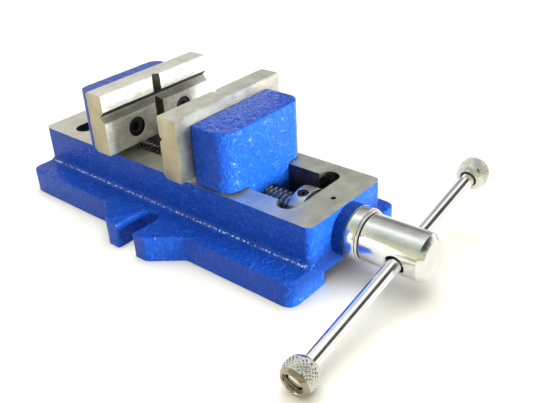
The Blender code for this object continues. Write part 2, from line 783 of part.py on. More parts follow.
def make_bar(slider):
    frame = slider.matrix_world
    past_centre = ball_half_length() - BAR_END_SUNK
    low = -BALL_NEAR - past_centre
    high = BALL_FAR + past_centre
    bar = rod("tommy_bar", frame @ Vector((0, 0, low)), frame @ Vector((0, 0, high)), BAR_RADIUS)
    finish(bar, POLISHED, slider)
    for name, centre, outwards in (("near", -BALL_NEAR, -1), ("far", BALL_FAR, 1)):
        matrix = frame @ Matrix.Translation((0, 0, centre))
        profile = ball_profile(outwards)
        ball = turned(f"handle_ball_{name}", profile, matrix, LARGE_ROUND)
        finish(ball, POLISHED, slider)


def main():
    carriage = empty("jaw_carriage", Matrix.Translation((X_MOVING_FACE, 0, AXIS_Z)))
    spindle = empty("spindle_axis", Matrix.Translation((X_HEAD, 0, AXIS_Z)))
    turn = bar_direction().to_track_quat("Z", "X").to_matrix().to_4x4()
    slider = empty("bar_axis", Matrix.Translation((X_BAR, 0, AXIS_Z)) @ turn, spindle)
    make_base()
    make_fixed_jaw()
    make_moving_jaw(carriage)
    make_nut(carriage)
    make_keeper(carriage)
    make_lead_screw(spindle)
    make_collars(spindle)
    make_bar(slider)


main()
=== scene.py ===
"""The looks of a machine vise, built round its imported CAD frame. Metres, +Z up.

Castings are made as real ones are: a rough body with soft corners, then machined faces cut into it.
Turned pieces, plates and screws are rebuilt with fine edges in the places of their CAD nodes.
"""

import json
from math import cos, pi, radians, sin, sqrt, tan

import bmesh
import bpy
from mathutils import Matrix, Vector, noise


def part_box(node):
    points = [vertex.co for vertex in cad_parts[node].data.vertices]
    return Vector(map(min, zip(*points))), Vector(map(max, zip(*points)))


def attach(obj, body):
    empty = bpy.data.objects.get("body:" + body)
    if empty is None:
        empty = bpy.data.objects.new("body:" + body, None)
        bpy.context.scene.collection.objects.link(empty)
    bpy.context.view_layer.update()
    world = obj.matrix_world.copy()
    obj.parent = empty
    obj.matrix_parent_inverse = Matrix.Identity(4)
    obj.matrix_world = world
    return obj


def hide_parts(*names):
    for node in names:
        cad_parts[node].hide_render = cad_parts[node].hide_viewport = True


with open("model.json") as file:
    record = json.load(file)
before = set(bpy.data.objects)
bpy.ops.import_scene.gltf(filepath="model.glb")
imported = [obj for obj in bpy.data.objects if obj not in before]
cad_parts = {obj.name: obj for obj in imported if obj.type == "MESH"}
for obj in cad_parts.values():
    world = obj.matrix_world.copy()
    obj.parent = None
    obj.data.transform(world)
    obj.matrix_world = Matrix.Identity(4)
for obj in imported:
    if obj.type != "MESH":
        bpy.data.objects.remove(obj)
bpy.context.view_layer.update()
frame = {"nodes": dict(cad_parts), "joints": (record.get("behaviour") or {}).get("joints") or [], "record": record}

MM = 0.001
BODIES = frame["record"]["behaviour"]["bodies"]
BODY_OF = {node: body for body, nodes in BODIES.items() for node in nodes}
SIDES = {"near": -1, "far": 1}

# Places read from the frame
BASE_LOW, BASE_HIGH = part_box("base_casting")
FIXED_LOW, FIXED_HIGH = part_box("fixed_jaw")
MOVING_LOW, MOVING_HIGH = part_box("moving_jaw")
MOVING_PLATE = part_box("moving_jaw_plate")
SCREW_LOW, SCREW_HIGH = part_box("lead_screw")
RING_LOW, RING_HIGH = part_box("retaining_ring")
WASHER_LOW, WASHER_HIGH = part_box("thrust_washer")
COLLAR_LOW, COLLAR_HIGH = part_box("thrust_collar")
AXIS_Z = (SCREW_LOW.z + SCREW_HIGH.z) / 2
BED = BASE_HIGH.z

# The base's own shape
BOSS_LENGTH = 4.1 * MM
X_REAR = BASE_LOW.x
X_FRONT = BASE_HIGH.x - BOSS_LENGTH
BODY_HALF = 19.1 * MM
BODY_CORNER = 2.6 * MM
FLANGE_HALF = 29.1 * MM
FLANGE_HEIGHT = 9.25 * MM
FLANGE_CORNER = 3.8 * MM
BOSS_RADIUS = 8.8 * MM
X_LUG = X_REAR + 66.5 * MM
LUG_REACH = BASE_HIGH.y
LUG_ROOT_HALF = 20.4 * MM
LUG_TIP_HALF = 9.5 * MM
LUG_CORNER = 2.0 * MM
LUG_SLOT_HALF = 4.15 * MM
LUG_SLOT_END = 23.4 * MM
SLOT_HALF = 10.5 * MM
X_SLOT_REAR = X_REAR + 11.0 * MM
X_SLOT_FRONT = X_REAR + 120.3 * MM
RELIEF_RADIUS = 3.7 * MM
RECESS_HALF = 14.5 * MM
X_RECESS_REAR = X_REAR + 49.0 * MM
ARCH_HALF = 12.5 * MM
ARCH_HEIGHT = 4.4 * MM
FLOOR_BOLT_DEPTH = 4.9 * MM
OIL_HOLE_INSET = 5.5 * MM
OIL_HOLE_RADIUS = 0.9 * MM

# Jaws
PLATE_SIDE_CORNER = 0.6 * MM
FIXED_CORNER = 4.5 * MM
MOVING_CORNER = 5.5 * MM
SIDE_STEPS = 8
JAW_BOLT_HOLE_TOP = 29.3 * MM
BLOCK_CLEARANCE = 0.5 * MM
BLOCK_FOOT_TRIM = 0.05 * MM
TONGUE_TOP = 23.0 * MM
NUT_FLANGE_DEPTH = 3.3 * MM
NUT_HOLE_RADIUS = 7.5 * MM
NUT_PIN_RADIUS = 1.3 * MM
KEEPER_HOLE_RADIUS = 1.55 * MM

# Jaw plates
V_MIDDLE = 40.4 * MM
V_DEPTH = 0.95
FIXED_V_HALF = 2.1 * MM
MOVING_V_HALF = 1.15 * MM
UPRIGHT_V_HALF = 3.7 * MM
UPRIGHT_V_DEPTH = 1.8 * MM
UPRIGHT_V_SEEN = 1.9 * MM
PLATE_FOOT = 1.2 * MM
PLATE_EASE = 0.4 * MM
PLATE_BEVEL = 0.12 * MM
SCREW_Y = 11.5 * MM
COUNTERBORE_RADIUS = 3.7 * MM
COUNTERBORE_DEPTH = 4.7 * MM
COUNTERBORE_TOP = 37.0 * MM

# M4 screws
M4_HOLE = 2.3 * MM
M4_SHANK = 1.95 * MM
M4_HEAD = 4.0 * MM
M4_PITCH = 0.7 * MM
M4_SOCKET = 3.0 * MM
M4_SOCKET_DEPTH = 2.0 * MM
M4_MOUTH_RADIUS = 1.95 * MM
M4_MOUTH_DEPTH = 0.2 * MM
M4_HOLE_SHINE = 3.8 * MM

# Lead screw, ring and handle
SCREW_RADIUS = 5.0 * MM
THREAD_ROOT = 3.95 * MM
THREAD_PITCH = 2.0 * MM
BORE_RADIUS = 5.3 * MM
X_HEAD = X_REAR + 140.6 * MM
HEAD_CHAMFER = 1.6 * MM
BAR_RADIUS = 2.4 * MM
BAR_HOLE = 3.0 * MM
COLLAR_BEAD = 0.42 * MM
SET_SCREW_RADIUS = 1.5 * MM
SET_SCREW_SOCKET = 1.5 * MM
BALL_RADIUS = 5.295 * MM
BALL_CAD_RADIUS = 5.3 * MM
BAR_END_INSET = 1.3 * MM
BALL_FLAT = 3.9 * MM
BALL_BORE = 2.7 * MM
BALL_RECESS = 3.3 * MM
KNURL_COUNT = 25
KNURL_PITCH = 1.3 * MM
KNURL_DEPTH = 0.30 * MM
KNURL_HALF = 0.62

# Clearances, cutters' reach and sides of round cuts
GAP = 0.3 * MM
PAST = 1.0 * MM
FAR = 0.2
EDGE = 0.02 * MM
SMALL_ROUND = 32
ROUND = 48
WIDE_ROUND = 64
TURNED = 96
FINE_TURNED = 128

# The castings' skin
FILLET = 0.75 * MM
FILLET_SHINE = 0.85 * MM
BASE_VOXEL = 0.5 * MM
BLOCK_VOXEL = 0.4 * MM
RIPPLE_HEIGHT = 0.05 * MM
RIPPLE_PEAK = 1.6
COARSE_WAVES = 420
FINE_WAVES = 900
SHARP = radians(35)
TURNED_SHARP = radians(32)
PLATE_SHARP = radians(28)
KNURL_SHARP = radians(40)
WELD = 2e-6


# Shapes


def link(obj):
    bpy.context.scene.collection.objects.link(obj)
    return obj


def mesh_object(shape, name, matrix=None):
    mesh = bpy.data.meshes.new(name)
    shape.to_mesh(mesh)
    shape.free()
    obj = link(bpy.data.objects.new(name, mesh))
    obj.matrix_world = matrix or Matrix()
    return obj


def applied(obj):
    """The object with its modifiers and its placing worked into its mesh."""
    bpy.context.view_layer.update()
    evaluated = obj.evaluated_get(bpy.context.evaluated_depsgraph_get())
    mesh = bpy.data.meshes.new_from_object(evaluated)
    mesh.transform(obj.matrix_world)
    name = obj.name
    bpy.data.objects.remove(obj)
    made = link(bpy.data.objects.new(name, mesh))
    made.name = name
    return made


def box(low, high, name="box"):
    low = Vector(low)
    high = Vector(high)
    shape = bmesh.new()
    size = Matrix.Diagonal((*(high - low), 1.0))
    bmesh.ops.create_cube(shape, size=1.0, matrix=Matrix.Translation((low + high) / 2) @ size)
    return mesh_object(shape, name)


def rod(start, end, radius, sides=WIDE_ROUND, end_radius=None):
    """A round rod, or a cone where end_radius differs, from one point to another."""
    start = Vector(start)
    along = Vector(end) - start
    shape = bmesh.new()
    bmesh.ops.create_cone(
        shape,
        cap_ends=True,
        segments=sides,
        radius1=radius,
        radius2=radius if end_radius is None else end_radius,
        depth=along.length,
    )
    turn = along.to_track_quat("Z", "Y").to_matrix().to_4x4()
    shape.transform(Matrix.Translation(start + along / 2) @ turn)
    return mesh_object(shape, "rod")


def rounded(corners, steps=6):
    """An outline through corners (a, b, radius), with an arc of that radius at each."""
    points = []
    for i, (a, b, radius) in enumerate(corners):
        corner = Vector((a, b))
        if radius == 0:
            points.append(corner)
            continue
        to_last = (Vector(corners[i - 1][:2]) - corner).normalized()
        to_next = (Vector(corners[(i + 1) % len(corners)][:2]) - corner).normalized()
        half = to_last.angle(to_next) / 2
        centre = corner + (to_last + to_next).normalized() * radius / sin(half)
        start = corner + to_last * radius / tan(half) - centre
        end = corner + to_next * radius / tan(half) - centre
        for step in range(steps + 1):
            points.append(centre + start.lerp(end, step / steps).normalized() * radius)
    return [(round(a, 6), round(b, 6)) for a, b in points]


def slab(outline, low, high, name="slab", turn=None):
    """A flat outline pushed out from one height to another, then turned."""
    shape = bmesh.new()
    corners = [shape.verts.new((a, b, low)) for a, b in outline]
    face = shape.faces.new(corners)
    pushed = bmesh.ops.extrude_face_region(shape, geom=[face])["geom"]
    tops = [v for v in pushed if isinstance(v, bmesh.types.BMVert)]
    bmesh.ops.translate(shape, verts=tops, vec=(0, 0, high - low))
    bmesh.ops.recalc_face_normals(shape, faces=shape.faces)
    if turn:
        shape.transform(turn)
    return mesh_object(shape, name)


def lathe(profile, place, sides, name):
    """A solid turned about the Z axis of place, from (radius, height) points down its outer side."""
    shape = bmesh.new()
    corners = [shape.verts.new((radius, 0.0, height)) for radius, height in profile]
    for first, second in zip(corners, corners[1:]):
        shape.edges.new((first, second))
    if profile[0][0] > 0:
        shape.edges.new((corners[-1], corners[0]))
    obj = mesh_object(shape, name, place)
    screw = obj.modifiers.new("turn", "SCREW")
    screw.steps = sides
    screw.render_steps = sides
    screw.use_merge_vertices = True
    screw.merge_threshold = WELD / 2
    return applied(obj)


def boolean(target, operation, tools):
    name = target.name
    for tool in tools:
        step = target.modifiers.new("step", "BOOLEAN")
        step.operation = operation
        step.solver = "MANIFOLD"
        step.object = tool
    made = applied(target)
    for tool in tools:
        bpy.data.objects.remove(tool)
    made.name = name
    return made


def cut(target, *tools):
    return boolean(target, "DIFFERENCE", tools)


def unite(target, *tools):
    return boolean(target, "UNION", tools)


def bevelled(obj, width, segments=2, angle=30):
    step = obj.modifiers.new("edges", "BEVEL")
    step.width = width
    step.segments = segments
    step.limit_method = "ANGLE"
    step.angle_limit = radians(angle)
    step.harden_normals = False
    step.use_clamp_overlap = True
    return applied(obj)


def merged(obj):
    """The object's flat faces made one each, which a bevel needs."""
    shape = bmesh.new()
    shape.from_mesh(obj.data)
    bmesh.ops.remove_doubles(shape, verts=shape.verts, dist=WELD)
    bmesh.ops.dissolve_limit(shape, angle_limit=radians(0.5), verts=shape.verts, edges=shape.edges)
    shape.to_mesh(obj.data)
    shape.free()
    return obj


def smooth(obj, angle=SHARP):
    obj.data.shade_smooth()
    obj.data.set_sharp_from_angle(angle=angle)
    return obj


def along_x(x):
    return Matrix.Translation((x, 0, AXIS_Z)) @ Matrix.Rotation(pi / 2, 4, "Y")


def arc(centre, radius, start, end, steps):
    """Points round a centre (radius, height) from one angle to another, in degrees."""
    points = []
    for i in range(steps + 1):
        angle = radians(start + (end - start) * i / steps)
        points.append((centre[0] + radius * cos(angle), centre[1] + radius * sin(angle)))
    return points


# Castings


def cast(rough, passes, seed, voxel):
    """A rough body with its corners softened and a slow ripple in its skin."""
    remesh = rough.modifiers.new("grain", "REMESH")
    remesh.mode = "VOXEL"
    remesh.voxel_size = voxel
    soften = rough.modifiers.new("soften", "SMOOTH")
    soften.factor = 0.5
    soften.iterations = passes
    made = applied(rough)
    shift = Vector((seed, seed * 0.7, -seed))
    for vertex, normal in zip(made.data.vertices, [n.vector.copy() for n in made.data.vertex_normals]):
        wave = noise.noise(vertex.co * COARSE_WAVES + shift)
        wave += 0.6 * noise.noise(vertex.co * FINE_WAVES - shift)
        vertex.co += normal * (wave - RIPPLE_PEAK) * RIPPLE_HEIGHT
    return made


def flange_outline():
    half = [
        (X_REAR, -FLANGE_HALF, FLANGE_CORNER),
        (X_LUG - LUG_ROOT_HALF, -FLANGE_HALF, LUG_CORNER),
        (X_LUG - LUG_TIP_HALF, -LUG_REACH, LUG_CORNER),
        (X_LUG + LUG_TIP_HALF, -LUG_REACH, LUG_CORNER),
        (X_LUG + LUG_ROOT_HALF, -FLANGE_HALF, LUG_CORNER),
        (X_FRONT, -FLANGE_HALF, FLANGE_CORNER),
    ]
    return rounded(half + [(x, -y, radius) for x, y, radius in reversed(half)])


def body_outline(grow=0.0):
    side = BODY_HALF + grow
    corners = [(X_REAR, -side), (X_FRONT, -side), (X_FRONT, side), (X_REAR, side)]
    return rounded([(x, y, BODY_CORNER) for x, y in corners])


def lug_slot(side):
    outer = side * (LUG_REACH + 2 * PAST)
    inner = side * LUG_SLOT_END
    turn = LUG_SLOT_HALF * 0.999
    corners = [
        (X_LUG - LUG_SLOT_HALF, outer, 0),
        (X_LUG - LUG_SLOT_HALF, inner, turn),
        (X_LUG + LUG_SLOT_HALF, inner, turn),
        (X_LUG + LUG_SLOT_HALF, outer, 0),
    ]
    return slab(rounded(corners, 12), -3 * PAST, FLANGE_HEIGHT + PAST)


def jaw_bolt_place(side):
    low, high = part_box("fixed_jaw_bolt_near" if side < 0 else "fixed_jaw_bolt_far")
    return (low + high) / 2, (high.x - low.x) / 2


def paint(obj, look):
    obj.data.materials.clear()
    obj.data.materials.append(look)
    return obj


def paint_by_rule(obj, looks, rule):
    """Gives each face the look that the rule picks from its centre and normal."""
    obj.data.materials.clear()
    for look in looks:
        obj.data.materials.append(look)
    for face in obj.data.polygons:
        face.material_index = rule(face.center, face.normal)
    return obj


def make_base():
    base = slab(flange_outline(), -2 * PAST, FLANGE_HEIGHT, "base_casting_skin")
    body = slab(body_outline(), -PAST, BED + 2 * PAST)
    fillet = slab(body_outline(FILLET), -PAST, FLANGE_HEIGHT + FILLET)
    rough = cut(unite(base, body, fillet), lug_slot(-1), lug_slot(1))
    boss_start = (X_FRONT - 4 * PAST, 0, AXIS_Z)
    boss_end = (X_FRONT + BOSS_LENGTH, 0, AXIS_Z)
    skin = unite(cast(rough, 3, 3.1, BASE_VOXEL), rod(boss_start, boss_end, BOSS_RADIUS, FINE_TURNED))

    tools = [
        box((-FAR, -FAR, BED), (FAR, FAR, BED + FAR)),
        box((-FAR, -FAR, -FAR), (FAR, FAR, 0.0)),
        box((X_SLOT_REAR, -SLOT_HALF, -PAST), (X_SLOT_FRONT, SLOT_HALF, BED + PAST)),
        box((X_RECESS_REAR, -RECESS_HALF, -PAST), (X_SLOT_FRONT, RECESS_HALF, ARCH_HEIGHT)),
        box((X_SLOT_FRONT - PAST, -ARCH_HALF, -PAST), (X_FRONT + PAST, ARCH_HALF, ARCH_HEIGHT)),
    ]
    tools.append(rod((X_SLOT_FRONT - PAST, 0, AXIS_Z), (X_FRONT + 6 * PAST, 0, AXIS_Z), BORE_RADIUS))
    x_oil = X_FRONT - OIL_HOLE_INSET
    tools.append(rod((x_oil, 0, AXIS_Z), (x_oil, 0, BED + PAST), OIL_HOLE_RADIUS, SMALL_ROUND))
    for side in SIDES.values():
        for x in (X_SLOT_REAR + RELIEF_RADIUS, X_SLOT_FRONT - RELIEF_RADIUS):
            y = side * SLOT_HALF
            tools.append(rod((x, y, -PAST), (x, y, BED + PAST), RELIEF_RADIUS))
        centre, radius = jaw_bolt_place(side)
        x, y = centre.x, centre.y
        tools.append(rod((x, y, -PAST), (x, y, FLOOR_BOLT_DEPTH), radius + GAP))
        tools.append(rod((x, y, 0), (x, y, BED + PAST), M4_HOLE, ROUND))
    base = cut(skin, *tools)
    reach = SLOT_HALF + RELIEF_RADIUS + EDGE
    bolts = [jaw_bolt_place(side)[0] for side in SIDES.values()]

    def rule(centre, normal):
        if centre.z > BED - EDGE or centre.z < EDGE:
            return 1
        # The slot, oil hole, bolt holes and bore take the dark milled iron: painted shade
        in_slot = X_SLOT_REAR - EDGE < centre.x < X_SLOT_FRONT + EDGE
        if in_slot and abs(centre.y) < reach:
            return 2
        if centre.x > X_FRONT + BOSS_LENGTH - EDGE:
            return 1
        from_oil_hole = Vector((centre.x - x_oil, centre.y)).length
        if from_oil_hole < 2 * OIL_HOLE_RADIUS and centre.z > FLANGE_HEIGHT:
            return 2
        for place in bolts:
            if (centre - place).to_2d().length < M4_HOLE_SHINE and centre.z < BED:
                return 2
        from_axis = Vector((centre.y, centre.z - AXIS_Z)).length
        if centre.x > X_SLOT_FRONT and from_axis < BORE_RADIUS + EDGE:
            return 2
        # The boss takes a darker copy of the enamel: painted shade
        if centre.x > X_FRONT + EDGE:
            return 4
        # Faces in a thin band at the foot of the body's sides take the fillet enamel with painted glints
        height = centre.z - FLANGE_HEIGHT
        out = abs(centre.y) - BODY_HALF
        in_glint_band = -EDGE < height < FILLET_SHINE and -EDGE < out < FILLET_SHINE
        return 3 if in_glint_band and centre.x < X_FRONT - PAST else 0

    looks = (LOOKS["enamel"], LOOKS["bed"], LOOKS["milled"], LOOKS["fillet"], LOOKS["boss"])
    paint_by_rule(base, looks, rule)
    return finish(smooth(base), "base_casting")


def block_outline(x_plate, x_back, half, corner):
    near = [(x_plate, -half, PLATE_SIDE_CORNER), (x_back, -half, corner)]
    far = [(x_back, half, corner), (x_plate, half, PLATE_SIDE_CORNER)]
    return rounded(near + far, SIDE_STEPS)


def make_fixed_jaw():
    rough = slab(
        block_outline(FIXED_HIGH.x + 2 * PAST, FIXED_LOW.x, FIXED_HIGH.y, FIXED_CORNER),
        FIXED_LOW.z - 2 * PAST,
        FIXED_HIGH.z,
        "fixed_jaw_skin",
    )
    skin = cast(rough, 2, 7.7, BLOCK_VOXEL)
    tools = [
        box((-FAR, -FAR, -FAR), (FAR, FAR, FIXED_LOW.z)),
        box((FIXED_HIGH.x, -FAR, -FAR), (FAR, FAR, FAR)),
    ]
    for name, side in SIDES.items():
        centre, _ = jaw_bolt_place(side)
        x, y = centre.x, centre.y
        tools.append(rod((x, y, FIXED_LOW.z - PAST), (x, y, JAW_BOLT_HOLE_TOP), M4_HOLE, ROUND))
        low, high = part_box(f"fixed_plate_screw_{name}")
        y, z = ((low + high) / 2).yz
        tools.append(rod((low.x - GAP, y, z), (high.x, y, z), M4_HOLE, ROUND))
    jaw = cut(skin, *tools)

    def rule(centre, normal):
        # The bottom and the plate face take the dark milled iron: painted shade
        return 1 if centre.z < FIXED_LOW.z + EDGE or centre.x > FIXED_HIGH.x - EDGE else 0

    paint_by_rule(jaw, (LOOKS["enamel"], LOOKS["milled"]), rule)
    return finish(smooth(jaw), "fixed_jaw")


def make_moving_jaw():
    x_plate = MOVING_PLATE[1].x + GAP
    block_low = BED + BLOCK_CLEARANCE
    tongue_half = SLOT_HALF - GAP
    rough = slab(
        block_outline(x_plate - 2 * PAST, MOVING_HIGH.x, MOVING_HIGH.y, MOVING_CORNER),
        block_low,
        MOVING_HIGH.z,
        "moving_jaw_skin",
    )
    tongue = box(
        (MOVING_LOW.x - PAST, -tongue_half - PAST, MOVING_LOW.z - PAST),
        (MOVING_HIGH.x, tongue_half + PAST, block_low + 2 * PAST),
    )
    skin = cast(unite(rough, tongue), 2, 12.3, BLOCK_VOXEL)
    block_foot = block_low - BLOCK_FOOT_TRIM
    tools = [
        box((-FAR, -FAR, -FAR), (FAR, FAR, MOVING_LOW.z)),
        box((-FAR, -FAR, TONGUE_TOP), (x_plate, FAR, FAR)),
        box((-FAR, -FAR, -FAR), (MOVING_LOW.x, FAR, FAR)),
        box((-FAR, tongue_half, -FAR), (FAR, FAR, block_foot)),
        box((-FAR, -FAR, -FAR), (FAR, -tongue_half, block_foot)),
    ]
    nut_low, nut_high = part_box("leadscrew_nut")
    before = (MOVING_LOW.x - PAST, 0, AXIS_Z)
    flange_end = (MOVING_LOW.x + NUT_FLANGE_DEPTH, 0, AXIS_Z)
    tools.append(rod(before, flange_end, (nut_high.z - nut_low.z) / 2 + GAP))
    tools.append(rod(before, (nut_high.x + GAP, 0, AXIS_Z), NUT_HOLE_RADIUS))
    tools.append(rod(before, (MOVING_HIGH.x + PAST, 0, AXIS_Z), BORE_RADIUS))
    low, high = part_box("nut_pin")
    x, _, z = (low + high) / 2
    tools.append(rod((x, low.y - PAST, z), (x, high.y + PAST, z), NUT_PIN_RADIUS, SMALL_ROUND))
    for name in SIDES:
        low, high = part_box(f"moving_plate_screw_{name}")
        y, z = ((low + high) / 2).yz
        tools.append(rod((low.x, y, z), (high.x + GAP, y, z), M4_HOLE, ROUND))
        low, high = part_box(f"keeper_screw_{name}")
        x, y = ((low + high) / 2).xy
        tools.append(rod((x, y, 0), (x, y, high.z + GAP), KEEPER_HOLE_RADIUS, SMALL_ROUND))
    jaw = cut(skin, *tools)

    def rule(centre, normal):
        # Hidden machined faces take the dark milled iron: painted shade
        if centre.z > block_low:
            return 1 if centre.x < x_plate + EDGE else 0
        on_back = normal.x > 0.5 and centre.x > MOVING_HIGH.x - PAST
        return 0 if on_back else 1

    paint_by_rule(jaw, (LOOKS["enamel"], LOOKS["milled"]), rule)
    return finish(smooth(jaw), "moving_jaw")


# Plates and screws


def make_plate(node, face_is_high, v_half):
    low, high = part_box(node)
    x_face, x_back = (high.x, low.x) if face_is_high else (low.x, high.x)
    into = 1 if x_back > x_face else -1
    ease = into * PLATE_EASE
    outline = [
        (x_face, V_MIDDLE - v_half),
        (x_face + into * v_half * V_DEPTH, V_MIDDLE),
        (x_face, V_MIDDLE + v_half),
        (x_face, high.z - PLATE_EASE),
        (x_face + ease, high.z),
        (x_back - ease, high.z),
        (x_back, high.z - PLATE_EASE),
    ]
    for x in (x_back, x_face):
        if x == low.x:
            inset = [(x, low.z + PLATE_FOOT), (x + PLATE_FOOT, low.z)]
            outline += inset if x == x_back else inset[::-1]
        else:
            outline.append((x, low.z))
    plate = slab(outline, low.y, high.y, node + "_ground", Matrix.Rotation(pi / 2, 4, "X"))
    mouth = x_face - into * UPRIGHT_V_DEPTH
    groove = slab(
        [(mouth, -UPRIGHT_V_HALF), (x_face + into * UPRIGHT_V_DEPTH, 0.0), (mouth, UPRIGHT_V_HALF)],
        low.z - PAST,
        high.z + PAST,
    )
    tools = [groove]
    kind = "fixed" if face_is_high else "moving"
    for name in SIDES:
        head_low, head_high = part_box(f"{kind}_plate_screw_{name}")
        y, z = ((head_low + head_high) / 2).yz
        radius = (head_high.z - head_low.z) / 2 + GAP
        seat = x_face + into * COUNTERBORE_DEPTH
        outside = x_face - into * PAST
        through = x_back + into * PAST
        tools.append(rod((outside, y, z), (seat, y, z), radius))
        tools.append(rod((outside, y, z), (through, y, z), M4_HOLE, ROUND))
    plate = cut(plate, *tools)
    plate = bevelled(merged(plate), PLATE_BEVEL, 2, 20)
    deep = 0.15 * MM

    def rule(centre, normal):
        inside = (centre.x - x_face) * into
        off_ends = low.y + PAST < centre.y < high.y - PAST
        off_edges = low.z + PAST < centre.z < high.z - PAST
        if inside > deep and off_ends and off_edges and abs(centre.x - x_back) > deep:
            by_screw = abs(abs(centre.y) - SCREW_Y) < COUNTERBORE_RADIUS
            round_hole = by_screw and centre.z < COUNTERBORE_TOP
            upper = normal.z < -0.3
            return 2 if round_hole or upper or abs(normal.y) > 0.3 else 3
        if abs(centre.y) < UPRIGHT_V_SEEN and abs(normal.y) > 0.3:
            return 2
        # +X faces take copies of the ground steel: painted light on the fixed plate's working face, painted shade
        # on the moving plate's back
        if normal.x > 0.9:
            return 4
        # End faces take steel with a tan tint: a painted warm reflection
        return 1 if abs(normal.y) > 0.9 else 0

    painted_light_and_shade_face = LOOKS["ground_face_painted_light"] if face_is_high else LOOKS["ground_back_painted_shade"]
    looks = (LOOKS["ground"], LOOKS["sawn_ends_painted_reflection"], LOOKS["groove"], LOOKS["flank"], painted_light_and_shade_face)
    paint_by_rule(plate, looks, rule)
    return finish(smooth(plate, PLATE_SHARP), node)


def make_cap_screw(node, axis, head_first):
    """An M4 cap screw with a chamfered head, a hexagon socket and a plain shank with thread grooves."""
    low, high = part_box(node)
    middle = (low + high) / 2
    length = (high - low)[axis]
    head_radius = (high - low)[(axis + 1) % 3] / 2
    turn = Matrix.Rotation(pi / 2, 4, "Y") if axis == 0 else Matrix()
    start = Vector(middle)
    start[axis] = low[axis]
    if not head_first:
        start[axis] = high[axis]
        turn = turn @ Matrix.Rotation(pi, 4, "X")
    place = Matrix.Translation(start) @ turn
    shank = M4_SHANK
    tip = 0.5 * MM
    tip_height = 0.4 * MM
    crest = 0.15 * MM
    groove = 0.35 * MM
    groove_height = 0.38 * MM
    neck = 0.8 * MM
    under_head = 0.1 * MM
    edge = 0.35 * MM
    profile = [(0.0, length), (shank - tip, length)]
    turns = int((length - M4_HEAD - 2 * MM) / M4_PITCH)
    for i in range(turns):
        top = length - tip_height - i * M4_PITCH
        profile += [(shank, top), (shank, top - crest), (shank - groove, top - groove_height)]
    profile += [(shank, M4_HEAD + neck), (shank, M4_HEAD)]
    profile += [(head_radius - under_head, M4_HEAD), (head_radius, M4_HEAD - under_head)]
    profile += arc((head_radius - edge, edge), edge, 0, -90, 4)
    profile += [(M4_MOUTH_RADIUS, 0.0), (M4_MOUTH_RADIUS - M4_MOUTH_DEPTH, M4_MOUTH_DEPTH)]
    profile += [(0.0, M4_MOUTH_DEPTH)]
    screw = lathe(profile, place, ROUND, node + "_fine")
    corner = M4_SOCKET / 2 / cos(pi / 6)
    back = place @ Vector((0, 0, -PAST))
    floor_point = place @ Vector((0, 0, M4_SOCKET_DEPTH))
    screw = cut(screw, rod(back, floor_point, corner, 6))
    paint(screw, LOOKS["black"])
    return finish(smooth(screw), node)


# Lead screw, ring, collar


def left_hand_thread(x_start, x_end, name):
    """A trapezoidal left-hand thread as a skin of rings whose radius follows the helix."""
    pitch = THREAD_PITCH
    crest = SCREW_RADIUS
    root = THREAD_ROOT
    lead_in_length = 1.2 * MM
    run_out_length = 1.5 * MM
    tip_drop = 0.4 * MM
    around = 60
    step = pitch / 12
    rings = int((x_end - x_start) / step)
    shape = bmesh.new()
    rows = []
    for i in range(rings + 1):
        x = x_start + (x_end - x_start) * i / rings
        row = []
        for j in range(around):
            angle = 2 * pi * j / around
            phase = (x / pitch + angle / (2 * pi)) % 1.0
            rise = min(max((abs(phase - 0.5) - 0.13) / 0.17, 0.0), 1.0)
            lead_in = min((x - x_start) / lead_in_length, 1.0)
            run_out = min((x_end - x) / run_out_length, 1.0)
            radius = root + (crest - root) * (1 - rise)
            radius = min(radius, root - tip_drop + (crest - root + tip_drop) * lead_in)
            radius = crest - (crest - radius) * run_out
            row.append(shape.verts.new((x, radius * cos(angle), AXIS_Z + radius * sin(angle))))
        rows.append(row)
    for first, second in zip(rows, rows[1:]):
        for j in range(around):
            k = (j + 1) % around
            shape.faces.new((first[j], first[k], second[k], second[j]))
    shape.faces.new(rows[0])
    shape.faces.new(rows[-1])
    bmesh.ops.recalc_face_normals(shape, faces=shape.faces)
    return mesh_object(shape, name)


def bar_frame():
    """The bar's own frame: its middle in the head, and Z along the bar to its far end."""
    joint = next(j for j in frame["joints"] if j["name"] == "bar_slide")
    direction = Vector(joint["axis"]).normalized()
    near = sum((Vector(c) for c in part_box("handle_ball_near")), Vector()) / 2
    far = sum((Vector(c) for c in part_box("handle_ball_far")), Vector()) / 2
    middle = near + direction * (-near.y / direction.y)
    turn = direction.to_track_quat("Z", "X").to_matrix().to_4x4()
    place = Matrix.Translation(middle) @ turn
    return place, (near - middle).dot(direction), (far - middle).dot(direction)


